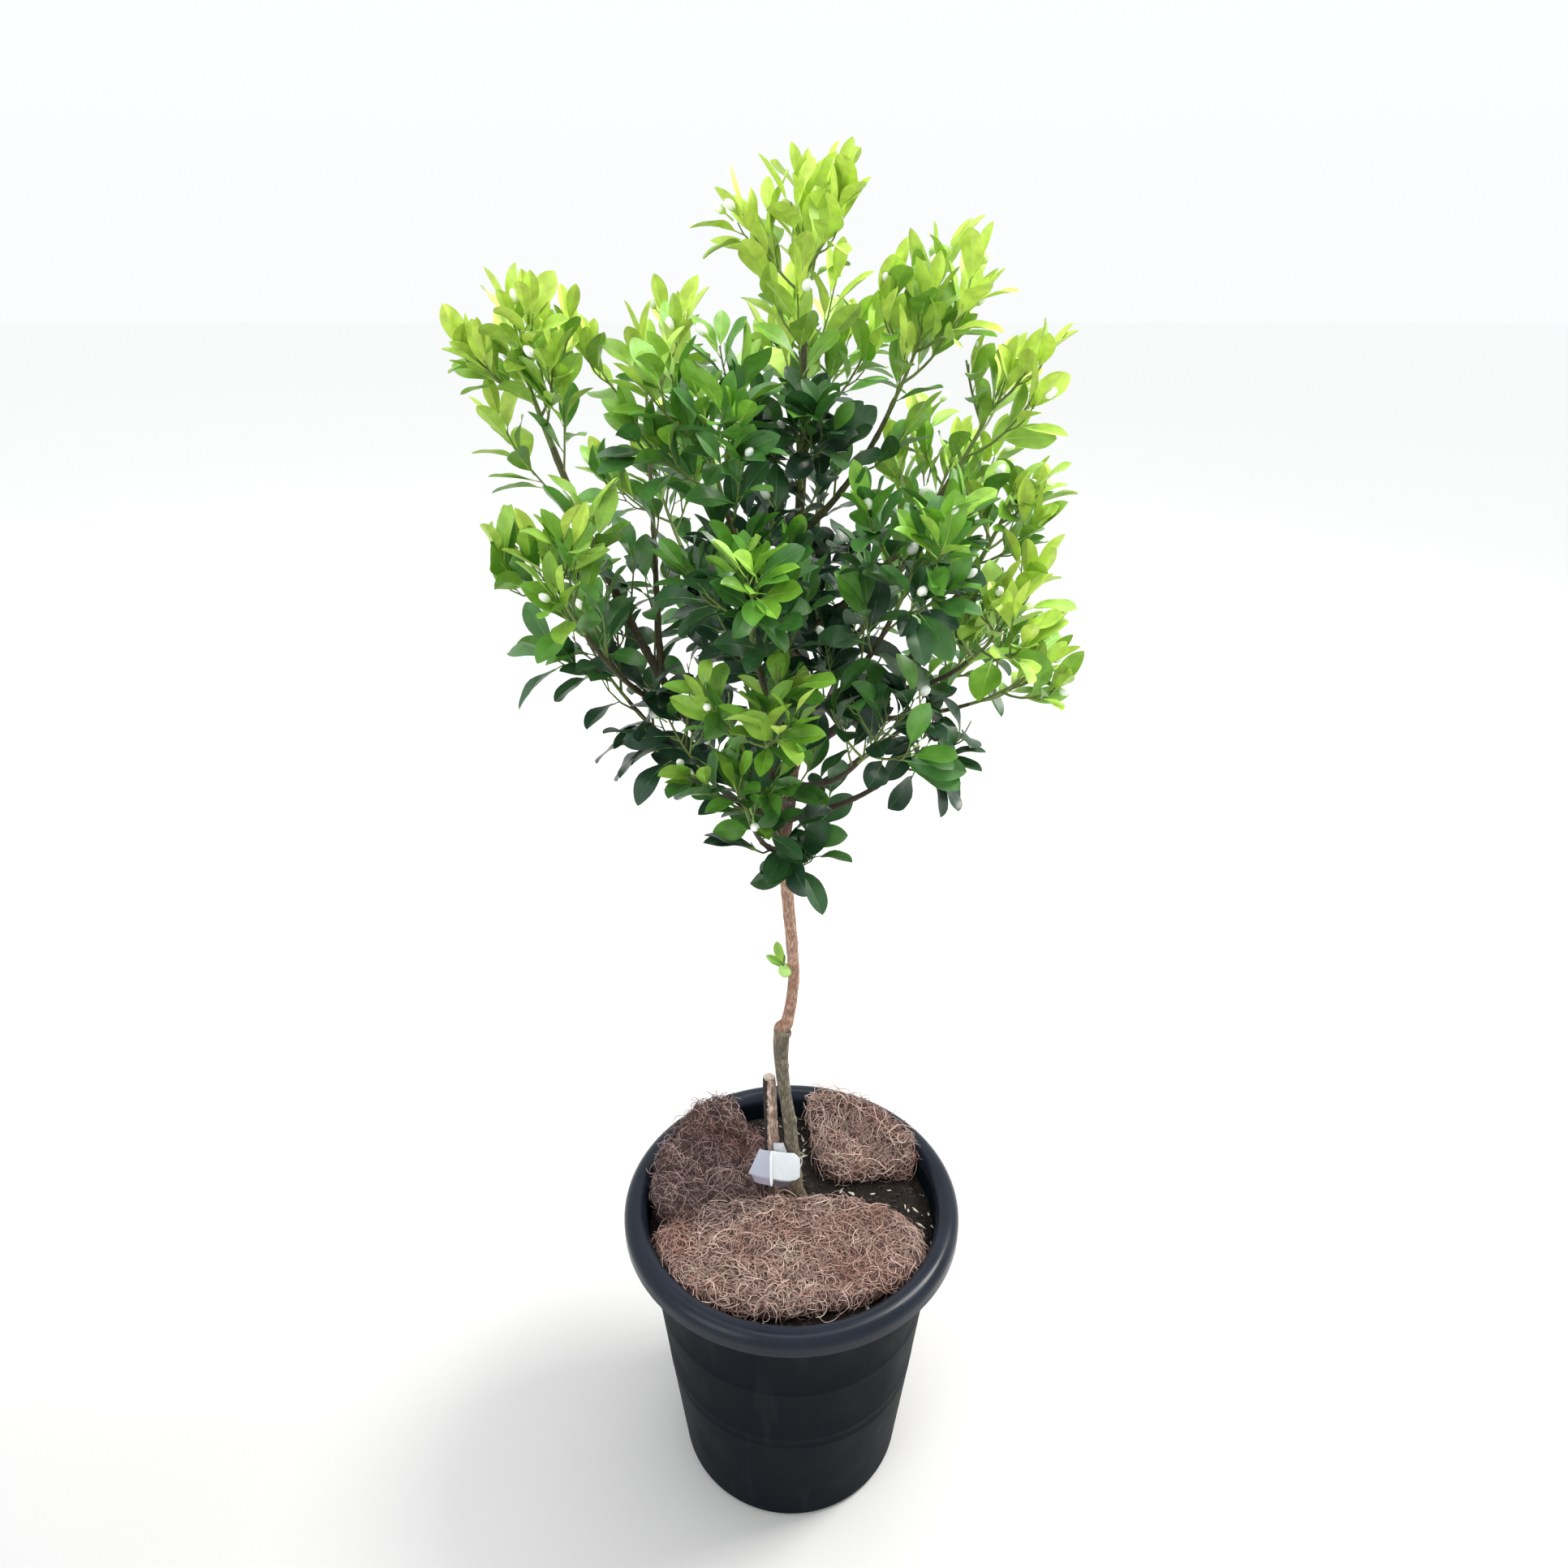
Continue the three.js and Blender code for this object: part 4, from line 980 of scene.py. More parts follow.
swept, given = start_node_tree("Wood swept along lines", {
    "Geometry": "Geometry", "Sides": "Int", "Material": "Material"})
curves = add_node(swept, "GeometryNodeMeshToCurve", {"Mesh": given["Geometry"]}).outputs["Curve"]
ring = add_node(swept, "GeometryNodeCurvePrimitiveCircle", {"Resolution": given["Sides"], "Radius": 1.0})
girth = add_node(swept, "GeometryNodeInputNamedAttribute", {"Name": "girth"}, data_type="FLOAT")
wood = add_node(swept, "GeometryNodeCurveToMesh", {
    "Curve": curves, "Profile Curve": ring.outputs["Curve"], "Scale": girth.outputs["Attribute"],
    "Fill Caps": True})
soft = add_node(swept, "GeometryNodeSetShadeSmooth", {"Geometry": wood.outputs["Mesh"]})
end_node_tree(swept, soft.outputs["Geometry"], given["Material"])

foliage_nodes = ["foliage_" + mass["name"] for mass in masses]
wood = made_by_nodes("twig_wood", lines, swept, {"Sides": 6, "Material": green_wood})
bpy.data.objects.remove(lines)
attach(wood, "root")
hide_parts(*foliage_nodes)

# ------------------------------------------------------------------------------ leaves
# Small obovate citrus leaves, folded along a pale midrib, on short stalks in a spiral up each twig.
# The old ones low on a shoot lie flat or hang; the newest stand in an upright tuft at its tip.

# How wide a leaf is, how far its sides fold up and its tip bends down, how wavy its edge is and how
# far it twists: all for a leaf of length 1.
leaf_forms = [
    (0.31, 0.36, -0.08, 0.000, 0.1),  # new, still folded
    (0.35, 0.28, 0.04, 0.006, -0.2),  # new, opening
    (0.39, 0.22, 0.12, 0.012, 0.2),  # full size
    (0.42, 0.20, 0.30, 0.016, -0.3),  # arched
    (0.46, 0.13, 0.20, 0.020, 0.5),  # broad, turned to the light
    (0.45, 0.12, 0.50, 0.014, -0.1),  # old, hanging
]
STALK = 0.09
WIDEST = 0.58  # where a blade is widest, as a share of its length
LEAF_THICKNESS = 0.008
# Stations along the blade, from its foot to its tip.
blade_stations = (0, 0.06, 0.15, 0.26, 0.38, 0.50, 0.61, 0.71, 0.80, 0.88, 0.95, 1)


def midrib(share, bend):
    """A place on the midrib, and how far it is pitched there."""
    length = STALK + (1 - STALK) * share
    pitch = -2 * bend * share
    if abs(bend) < 1e-6:
        return Vector((0, length, 0)), 0.0
    radius = (1 - STALK) / (2 * bend)
    return Vector((0, STALK - radius * math.sin(pitch), radius * (math.cos(pitch) - 1))), pitch


def blade_point(form, share, side, above):
    """A point of a blade: share along it, side from -1 to 1 across it, above or below its middle."""
    width, fold, bend, wave, twist = form
    half = 0
    if 0 < share < 1:
        half = 0.5 * width * (share / WIDEST) ** 1.16 * ((1 - share) / (1 - WIDEST)) ** 0.84
    centre, pitch = midrib(share, bend)
    across = side * half
    rise = fold * abs(side) * half * 2 * (1.15 - 0.35 * abs(side))
    rise += wave * math.sin(11 * share + 2 * side) * side * side
    point = Quaternion((0, 1, 0), twist * share) @ Vector((across, 0, rise + above))
    return centre + Quaternion((1, 0, 0), pitch) @ point


def shape_of(name, places, faces):
    """A smooth shape kept out of the scene, for a node tree to copy."""
    mesh = bpy.data.meshes.new(name)
    mesh.from_pydata(places, [], faces)
    mesh.shade_smooth()
    return bpy.data.objects.new(name, mesh)


def blade(name, form):
    """A thin closed blade creased along its midrib, its two faces meeting at a sharp edge."""
    inner = blade_stations[1:-1]
    places = [blade_point(form, 0, 0, 0), blade_point(form, 1, 0, 0)]
    # Each row of places: the left edge, the midrib above and below, and the right edge.
    for share in inner:
        for side, above in ((-1, 0), (0, 0.5), (0, -0.5), (1, 0)):
            places.append(blade_point(form, share, side, above * LEAF_THICKNESS))
    faces, last = [], 2 + 4 * (len(inner) - 1)
    for left, right, under_left, under_right in ((0, 1, 0, 2), (1, 3, 2, 3)):
        faces.append((0, 2 + right, 2 + left))
        faces.append((0, 2 + under_left, 2 + under_right))
        for a in range(2, last, 4):
            faces.append((a + left, a + right, a + 4 + right, a + 4 + left))
            faces.append((a + under_left, a + 4 + under_left, a + 4 + under_right, a + under_right))
        faces.append((1, last + left, last + right))
        faces.append((1, last + under_right, last + under_left))
    shape = shape_of(name, places, faces)
    shape.data.set_sharp_from_angle(angle=math.radians(25))
    return shape


def rib(name, form):
    """The round stalk of a leaf, running on as a fine ridge along the top of its midrib."""
    stops = [(-0.03, 0.016), (0.0, 0.015)]
    stops += [(share, 0.013 * (1 - share) + 0.003) for share in (0.10, 0.30, 0.55, 0.78, 0.95)]
    places = []
    for k, (share, girth) in enumerate(stops):
        centre, pitch, lift = Vector((0, -0.02, 0)), 0, 0
        if k:
            centre, pitch = midrib(share, form[2])
            lift = LEAF_THICKNESS * 0.35
        turned_by = Quaternion((0, 1, 0), form[4] * share)
        for angle in (math.radians(90), math.radians(210), math.radians(330)):
            ring = Vector((girth * math.cos(angle), 0, girth * 0.8 * math.sin(angle) + lift))
            places.append(centre + Quaternion((1, 0, 0), pitch) @ (turned_by @ ring))
    faces = [(0, 1, 2)]
    for k in range(len(stops) - 1):
        for i in range(3):
            j = (i + 1) % 3
            faces.append((3 * k + i, 3 * k + 3 + i, 3 * k + 3 + j, 3 * k + j))
    faces.append((3 * len(stops) - 1, 3 * len(stops) - 2, 3 * len(stops) - 3))
    return shape_of(name, places, faces)


blades = collect("leaf_blades", [blade(f"blade_{k}", form) for k, form in enumerate(leaf_forms)])
ribs = collect("leaf_ribs", [rib(f"rib_{k}", form) for k, form in enumerate(leaf_forms)])

# Leaf colours from the oldest in deep shade to the newest growth. The tone each leaf takes also paints
# light and shade: lighter on the outside and top of the crown, darker inside and low down.
leaf_tones = [
    ("shade", "#22402b"), ("old", "#2b522b"), ("mature", "#3b6b2c"), ("full", "#52872c"),
    ("green", "#6e9f2f"), ("bright", "#87b03f"), ("fresh", "#a0c34a"), ("lime", "#b8d356"),
]
GOLDEN = 2.39996  # the golden angle in radians, from each leaf to the next round a twig
LEAF_LENGTH = 0.046
LEAF_OFF_TWIG = 0.0008
CLEAR_OF_LEAF = 0.0030
CROWN_MIDDLE, CROWN_REACH = Vector((-0.01, 0, 1.06)), Vector((0.25, 0.23, 0.30))
# For twigs of each order: how far apart their leaves stand, and the share of the twig that is bare.
LEAVES_APART = (0.0105, 0.0093, 0.0092, 0.0104)
LEAVES_FROM = (0.38, 0.22, 0.28, 0.25)
# How far a leaf keeps from other masses, where less than 0 is how far it may pass into them, how far
# from limbs, and how far it may pass its solid's box. Leaves on spurs have more freedom.
ON_TWIGS, ON_SPURS = (-0.005, 0.002, 0.005), (-0.012, 0.002, 0.05)
LEAF_TRIES = 5


def leaf_points(leaf):
    """Points over the outer part of a leaf's blade."""
    across = leaf["heading"].cross(leaf["facing"]).normalized()
    above = across.cross(leaf["heading"])
    spots = []
    for share, side in ((0.45, 0), (0.62, 0.9), (0.62, -0.9), (0.62, 0), (0.82, 0.8), (0.82, -0.8), (1, 0)):
        x, y, z = blade_point(leaf_forms[leaf["form"]], share, side, 0)
        spots.append(leaf["base"] + (across * x + leaf["heading"] * y + above * z) * leaf["size"])
    return np.array(spots)


def leaf_on(mass, curve, share, turn, draw):
    """A leaf on a twig, a turn round it. Low leaves spread, high ones stand up, and old ones hang."""
    fresh = mass["fresh"]
    young = share ** 2 * (0.5 + 0.5 * fresh)
    along = along_curve(curve, share)
    out = Quaternion(along, turn) @ along.orthogonal().normalized()
    spread = (0.80 - 0.46 * share * share) * (1.08 - 0.3 * fresh) + draw(-0.15, 0.15)
    hang = 0.95 * max(0, 0.55 - fresh) * (1 - 0.6 * share)
    heading = (leaning(along, out, spread) - UP * hang).normalized()
    roll = 0.45 + 1.2 * max(0, 0.5 - fresh)
    facing = (Quaternion(heading, draw(-roll, roll)) @ (along + UP * 0.5)).normalized()
    size = (LEAF_LENGTH - 0.010 * young + 0.030 * max(0, 0.4 - fresh)) * draw(0.84, 1.10)
    # New forms stand at a tip, hanging ones in the shade, and any grown one elsewhere.
    if young > 0.66:
        form = int(draw(0, 2))
    elif hang > 0.14:
        form = 3 + int(draw(0, 3))
    else:
        form = 1 + int(draw(0, 4))
    base = on_curve(curve, share) + out * LEAF_OFF_TWIG
    return {"base": base, "heading": heading, "facing": facing, "size": size, "form": form}


def spray_tone_with_painted_light(mass, tip, draw):
    """How light a spray's leaves are, from 0 for the darkest tone to 1 for the lightest: the fresher
    its mass is and the further out and up it stands, the lighter. Standing out and up paints light on
    the crown's outside, and standing in and low paints shade within it."""
    out_share = Vector(far / reach for far, reach in zip(tip - CROWN_MIDDLE, CROWN_REACH)).length
    light = 0.80 * mass["fresh"] + 0.50 * (min(out_share, 1.1) - 0.76) + draw(-0.09, 0.09)
    return light + max(-0.16, min(0.16, 2.2 * (tip.z - mass["middle"].z)))


leaves = []
tips = []
for number, mass in enumerate(masses):
    draw = seeded_draws(500 + number)
    own_twigs = [twig for twig in twigs if twig["mass"] == number]
    taken = np.array([on_curve(twig["curve"], k / 5) for twig in own_twigs for k in range(6)])
    for twig in own_twigs:
        curve, order = twig["curve"], twig["order"]
        length = (curve[2] - curve[0]).length
        count = max(3, round(length / LEAVES_APART[order] * mass["thick"]))
        bare = LEAVES_FROM[order]
        room = ON_TWIGS if order < 3 else ON_SPURS
        spin = draw(0, 6.28)
        # The spray's tone paints light on the crown's outside and top, and shade within and below.
        spray = spray_tone_with_painted_light(mass, curve[2], draw)
        for k in range(count):
            share = min(0.995, bare + (1.0 - bare) * ((k + 0.3) / (count - 0.3)) ** 0.8)
            # A leaf that doesn't fit is tried again further round the twig, and a little smaller.
            for attempt in range(LEAF_TRIES):
                leaf = leaf_on(mass, curve, share, spin + GOLDEN * (k + 0.38 * attempt), draw)
                leaf["size"] *= mass["leaf_scale"] * (1 - 0.06 * attempt)
                leaf["size"] *= 1 - 0.35 * max(0, mass["thick"] - 1)
                points = leaf_points(leaf)
                if not fits(number, points, *room):
                    continue
                if np.linalg.norm(points[:, None] - taken, axis=2).min() < CLEAR_OF_LEAF:
                    continue
                taken = np.concatenate([taken, points])
                light = spray + 0.48 * share * share * (0.45 + 0.8 * mass["fresh"]) - 0.11
                step = int(light * len(leaf_tones) + draw(-0.8, 0.8))
                leaves.append({**leaf, "tone": min(len(leaf_tones) - 1, max(0, step))})
                break
        tips.append((number, on_curve(curve, 0.92), along_curve(curve, 0.92)))


def set_on_twigs(name, chosen, forms, finish):
    """A piece of copies of some forms: each leaf or bud of a list in its place, heading and size."""
    mesh = bpy.data.meshes.new("seats_" + name)
    mesh.from_pydata([leaf["base"] for leaf in chosen], [], [])
    for key in ("heading", "facing"):
        flat = [c for leaf in chosen for c in leaf[key]]
        mesh.attributes.new(key, "FLOAT_VECTOR", "POINT").data.foreach_set("vector", flat)
    for key, kind in (("size", "FLOAT"), ("form", "INT")):
        values = [leaf[key] for leaf in chosen]
        mesh.attributes.new(key, kind, "POINT").data.foreach_set("value", values)
    seats = bpy.data.objects.new("seats_" + name, mesh)
    bpy.context.scene.collection.objects.link(seats)
    piece = made_by_nodes(name, seats, seated, {"Forms": forms, "Material": finish})
    bpy.data.objects.remove(seats)
    return piece


seated, given = start_node_tree("Set on the twigs", {
    "Geometry": "Geometry", "Forms": "Collection", "Material": "Material"})
seat_values = (("heading", "FLOAT_VECTOR"), ("facing", "FLOAT_VECTOR"), ("size", "FLOAT"), ("form", "INT"))
heading, facing, size, form = (
    add_node(seated, "GeometryNodeInputNamedAttribute", {"Name": name}, data_type=kind).outputs["Attribute"]
    for name, kind in seat_values)
turn = add_node(seated, "FunctionNodeAxesToRotation", {
    "Primary Axis": heading, "Secondary Axis": facing}, primary_axis="Y", secondary_axis="Z")
shapes = add_node(seated, "GeometryNodeCollectionInfo", {
    "Collection": given["Forms"], "Separate Children": True, "Reset Children": True})
copies = add_node(seated, "GeometryNodeInstanceOnPoints", {
    "Points": given["Geometry"], "Instance": shapes.outputs[0], "Pick Instance": True,
    "Instance Index": form, "Rotation": turn.outputs[0], "Scale": size})
end_node_tree(seated, copies.outputs[0], given["Material"])

# Each tone is one leathery green: a waxy skin with a soft gloss, a little uneven in its tone, and
# faintly pebbled by oil glands about half a millimetre across, drawn at a millimetre.
for number, (name, colour) in enumerate(leaf_tones):
    finish, tree, where = start_material(f"Citrus leaf, {name}")
    glands = add_node(tree, "ShaderNodeTexNoise", {"Vector": where, "Scale": 900, "Detail": 2}).outputs["Fac"]
    uneven = add_node(tree, "ShaderNodeTexNoise", {"Vector": where, "Scale": 110, "Detail": 3}).outputs["Fac"]
    blotch = add_node(tree, "ShaderNodeMapRange", {"Value": uneven, "From Min": 0.35, "From Max": 0.65})
    deep, pale = ([part * strength for part in linear(colour)[:3]] + [1] for strength in (0.84, 1.16))
    tone = add_node(tree, "ShaderNodeMix", {
        "Factor": blotch.outputs["Result"], 6: deep, 7: pale}, data_type="RGBA").outputs[2]
    end_material(tree, {
        "Base Color": tone, "Roughness": 0.34 + 0.015 * number, "IOR": 1.45,
        "Specular IOR Level": 0.5}, glands, 0.15, 0.0003)
    own_leaves = [leaf for leaf in leaves if leaf["tone"] == number]
    piece = set_on_twigs(f"leaves_{name}", own_leaves, blades, finish)
    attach(piece, "root")
    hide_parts(*foliage_nodes)

# Stalks and midribs are paler and yellower than the blade: dull on the old leaves of the four darker
# tones, bright on the new ones of the four lighter tones, so they carry those tones' painted light and shade
# too.
for name, colour, chosen in (
        ("old", "#6f9a4c", [leaf for leaf in leaves if leaf["tone"] < 4]),
        ("new", "#b4d070", [leaf for leaf in leaves if leaf["tone"] >= 4])):
    rib_green, tree, where = start_material(f"Citrus leaf stalk, {name}")
    fleck = add_node(tree, "ShaderNodeTexNoise", {"Vector": where, "Scale": 700, "Detail": 2}).outputs["Fac"]
    end_material(tree, {"Base Color": linear(colour), "Roughness": 0.5}, fleck, 0.2, 0.0002)
    piece = set_on_twigs(f"leaf_stalks_{name}", chosen, ribs, rib_green)
    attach(piece, "root")
    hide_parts(*foliage_nodes)

# ------------------------------------------------------------------------------ buds and fruit
# Fat white flower buds stand singly on short stalks among the newest leaves. One small green fruit has
# set on the sprout that grows from the bare trunk.


def turned_shape(name, profile, sides, ridges=(1, 1)):
    """A shape turned about Y from (radius, height) points, its sides set in and out by turns."""
    places = [(0, profile[0][1], 0)]
    for radius, height in profile[1:-1]:
        for i in range(sides):
            angle = 2 * math.pi * i / sides
            reach = radius * ridges[i % 2]
            places.append((reach * math.cos(angle), height, reach * math.sin(angle)))
    places.append((0, profile[-1][1], 0))
    faces = ring_faces(len(profile) - 2, sides)
    return shape_of(name, places, [(face[0], *reversed(face[1:])) for face in faces])


# An egg-shaped bud of length 1 with its five petals still closed, and the green cup and stalk under it.
bud_shape = turned_shape("bud", [
    (0, 0), (0.22, 0.06), (0.33, 0.28), (0.34, 0.52), (0.26, 0.78), (0.11, 0.95), (0, 1)], 10, (0.98, 1.05))
calyx_shape = turned_shape("calyx", [
    (0, -0.9), (0.07, -0.88), (0.06, -0.2), (0.20, -0.04), (0.30, 0.10), (0.24, 0.08), (0, 0.02)], 6)

draw = seeded_draws(900)
buds = []
for number, place, along in tips:
    mass = masses[number]
    # About one twig in four may bear a bud, and more where the growth is fresh.
    if mass["shoots"] == 1 or draw(0, 1) > 0.17 + 0.12 * mass["fresh"]:
        continue
    aside = (Vector((place.x, place.y, 0)).normalized() + outward(draw(0, 360)) * 0.8).normalized()
    heading = leaning(along, aside, 0.65)
    base = place + heading * 0.014
    if fits(number, [base, base + heading * 0.010], -0.004, 0.004, 0.02):
        buds.append({"base": base, "heading": heading, "facing": along.orthogonal().normalized(),
                     "size": draw(0.0080, 0.0110), "form": 0})

# Petals are waxy and creamy white, with a slight sheen. Their stalks are as the new leaves' stalks.
petal_white, tree, where = start_material("Waxy citrus petal")
veins = add_node(tree, "ShaderNodeTexNoise", {"Vector": where, "Scale": 500, "Detail": 2}).outputs["Fac"]
end_material(tree, {"Base Color": linear("#f5f6ef"), "Roughness": 0.42}, veins, 0.2, 0.0003)
for name, shape, finish in (("bud_petals", bud_shape, petal_white), ("bud_stalks", calyx_shape, rib_green)):
    piece = set_on_twigs(name, buds, collect(name + "_form", [shape]), finish)
    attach(piece, "root")
    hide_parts(*foliage_nodes)

# The fruit: a green globe about 14 mm across, pitted with oil glands, with a dimple at its flower end.
sprout = next(mass for mass in masses if mass["name"] == "stem_sprout")
fruit_middle = sprout["place"] + sprout["heading"] * 0.012
fruit_radius = 0.007
fruit_section = [(0, 0.0056)]
for angle in np.linspace(0.16, 2.98, 15):
    flattened = 1 - 0.12 * math.cos(angle) ** 8
    fruit_section.append((fruit_radius * math.sin(angle), fruit_radius * math.cos(angle) * flattened))
fruit_section.append((0, -0.0058))
places, faces = turned(fruit_section, 24)
fruit_skin, tree, where = start_material("Unripe citrus peel")
pits = add_node(tree, "ShaderNodeTexVoronoi", {"Vector": where, "Scale": 1300}).outputs["Distance"]
blush = add_node(tree, "ShaderNodeTexNoise", {"Vector": where, "Scale": 120}).outputs["Fac"]
tone = add_node(tree, "ShaderNodeMix", {
    "Factor": blush, 6: linear("#8fc653"), 7: linear("#c6e98d")}, data_type="RGBA").outputs[2]
end_material(tree, {"Base Color": tone, "Roughness": 0.38}, pits, 0.4, 0.0002)
tip_over = UP.rotation_difference(sprout["heading"])
places = [fruit_middle + tip_over @ Vector(place) for place in places]
fruit = make_piece("green_fruit", places, faces, fruit_skin, crease=60)
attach(fruit, "root")
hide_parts("foliage_stem_sprout")

# ------------------------------------------------------------------------------ coir mats
# Three torn pieces of needled coir mat, laid loose on the mix to keep it moist. The one in front lies
# flat, the one at the left is darker with painted shade, rumpled and leans on the wall, and the one
# behind is squarer.

mat_thickness = 0.019
fibre_radius = 0.00037
curls_from = 0.112  # how far out a mat starts to climb the wall
mat_most = mix_radius - 0.003
# The rumpled mat is pushed up into a hump near the wall, behind a fold that runs across it.
hump_x, hump_y, hump_rise = -0.105, 0.102, 0.014
fold_x, fold_y, fold_slope, fold_width, fold_depth = -0.09, 0.045, 0.35, 0.007, 0.009


def mat_point(mat, share, rise, angle):
    """A place in a mat: share of its outline and of its thickness. It stands higher along the wall."""
    reach = mat_reach(mat, angle) * share
    x = mat["centre"][0] + reach * math.cos(angle)
    y = mat["centre"][1] + reach * math.sin(angle)
    far = math.hypot(x, y)
    if far > mat_most:
        x, y, far = x * mat_most / far, y * mat_most / far, mat_most
    lean = min(1, max(0, (far - curls_from) / (mat_most - curls_from)))
    lean = lean * lean * (3 - 2 * lean)
    z = mix_top + mat_gap + rise * (mat_thickness + mat["curl"] * lean)
    if rise > 0.5:
        z += mat["rumple"] * noise.fractal(Vector((x, y, 3)) * 34, 1.0, 2.0, 3) - 0.0012
    if rise > 0.5 and mat["name"] == "left":
        z += hump_rise * math.exp(-(((x - hump_x) / 0.034) ** 2 + ((y - hump_y) / 0.026) ** 2))
        from_fold = y - fold_y - fold_slope * (x - fold_x)
        z -= fold_depth * math.exp(-(from_fold / fold_width) ** 2)
    return Vector((x, y, z))


def mat_pad(mat):
    """Places and faces of a mat's felted body: its torn edge, then its top from the edge inward."""
    spokes = 96
    rows = [(0.97, 0), (1.0, 0.22), (0.985, 0.6), (0.94, 0.9)]
    rows += [(share, 1) for share in np.linspace(0.88, 0.06, 16)]
    places = [mat_point(mat, 0.0, 0, 0)]
    for share, rise in rows:
        for i in range(spokes):
            angle = 2 * math.pi * i / spokes
            torn = noise.noise(Vector((math.cos(angle), math.sin(angle), 0)) * 9)
            ragged = 1 + 0.035 * torn * min(1, share * 1.2)
            places.append(mat_point(mat, share * ragged, rise, angle))
    places.append(mat_point(mat, 0, 1, 0))
    return places, ring_faces(len(rows), spokes)


def fibre(name, length, curve, hump, seed):
    """One coir fibre: a thin bent hair of three sides, pointed at both ends, with its middle raised."""
    steps = 9
    heading, place = -curve / 2, Vector((-length / 2, 0, 0))
    centres = [place.copy()]
    for k in range(steps):
        wander = curve / steps + 0.6 * noise.noise(Vector((seed, 0.5 * k, 0)))
        heading += wander
        place = place + Vector((math.cos(heading), math.sin(heading), 0)) * (length / steps)
        centres.append(place + Vector((0, 0, hump * math.sin(math.pi * (k + 1) / steps))))
    places = [centres[0]]
    for k in range(1, steps):
        along = (centres[k + 1] - centres[k - 1]).normalized()
        side = Vector((-along.y, along.x, 0)).normalized()
        rise = along.cross(side)
        for angle in (0, 2.094, 4.189):
            out = side * math.cos(angle) + rise * math.sin(angle)
            places.append(centres[k] + out * fibre_radius)
    places.append(centres[-1])
    return shape_of(name, places, ring_faces(steps - 1, 3))


# Each form of fibre: its length, how far it turns in radians, and the height of its hump.
fibre_sizes = [
    (0.032, 1.8, 0.0028), (0.027, 3.0, 0.0016), (0.038, 1.0, 0.0042), (0.023, 4.0, 0.0022),
    (0.030, -2.2, 0.0050), (0.025, -3.6, 0.0014), (0.038, 1.4, 0.0020), (0.022, 5.0, 0.0036),
]
fibre_forms = collect("coir_fibres", [
    fibre(f"fibre_{k}", *size, 3.7 * k) for k, size in enumerate(fibre_sizes)])

# Coir felt, the husk fibre of coconut bound with latex: dull pinkish brown, painted dark under the
# fibres and darkest in its hollows, as painted shade. Real fibres are 0.2 to 0.3 mm thick; they are
# drawn at 0.7 mm to show.
felt_painted_shade, tree, where = start_material("Coir felt, painted shade between fibres")
tangle = add_node(tree, "ShaderNodeTexNoise", {
    "Vector": where, "Scale": 420, "Detail": 5, "Distortion": 1.5}).outputs["Fac"]
patch = add_node(tree, "ShaderNodeTexNoise", {"Vector": where, "Scale": 35, "Detail": 3}).outputs["Fac"]
# Painted shade: the felt is darkest where it lies lowest, in its hollows.
hollow_painted_shade_tone = add_node(tree, "ShaderNodeMix", {
    "Factor": tangle, 6: linear("#221715"), 7: linear("#705449")}, data_type="RGBA").outputs[2]
tone = add_node(tree, "ShaderNodeMix", {
    "Factor": patch, 6: hollow_painted_shade_tone, 7: linear("#4a362f")}, data_type="RGBA").outputs[2]
end_material(tree, {"Base Color": tone, "Roughness": 0.95}, tangle, 1.0, 0.002)


# Patches some 60 mm across are redder and darker.
def coir_fibre(name, dark, light, roughness, patch_tint):
    """A coir fibre finish between two colours, with the tone that darkens and reddens its patches."""
    finish = speckled(name, dark, light, 60, roughness)
    tree = finish.node_tree
    shader, tone = shader_and_tone(finish)
    where = add_node(tree, "ShaderNodeTexCoord").outputs["Object"]
    patch = add_node(tree, "ShaderNodeTexNoise", {"Vector": where, "Scale": 15, "Detail": 1}).outputs["Fac"]
    patch_share = add_node(tree, "ShaderNodeMapRange", {
        "Value": patch, "From Min": 0.45, "From Max": 0.72}).outputs["Result"]
    redder = add_node(tree, "ShaderNodeMix", {
        "Factor": patch_share, 6: tone, 7: linear(patch_tint)}, data_type="RGBA", blend_type="MULTIPLY").outputs[2]
    tree.links.new(redder, shader.inputs["Base Color"])
    return finish


# Each tint of fibre, with how many lie on a square metre, for mats in the light and for the one at the
# left, whose tints are darker and greyer as painted shade.
plain_fibres = {
    "dark": (18400, coir_fibre("Dark coir fibre", "#4d3a36", "#6e5650", 0.85, "#e4d0cc")),
    "mid": (34000, coir_fibre("Coir fibre", "#94766d", "#b8998e", 0.8, "#e4d0cc")),
    "pale": (34800, coir_fibre("Pale coir fibre", "#c8aca0", "#eed9cc", 0.75, "#e4d0cc")),
}
# The left mat's fibres are painted shade: darker and greyer copies of the others.
shaded_fibres_painted = {
    "dark": (39100, coir_fibre("Coir fibre, painted shade, dark", "#43353a", "#675552", 0.9, "#cfaea9")),
    "mid": (39100, coir_fibre("Coir fibre, painted shade", "#856e6b", "#ab948f", 0.85, "#cfaea9")),
    "pale": (24650, coir_fibre("Coir fibre, painted shade, pale", "#c4b2ad", "#ecdfd9", 0.8, "#cfaea9")),
}

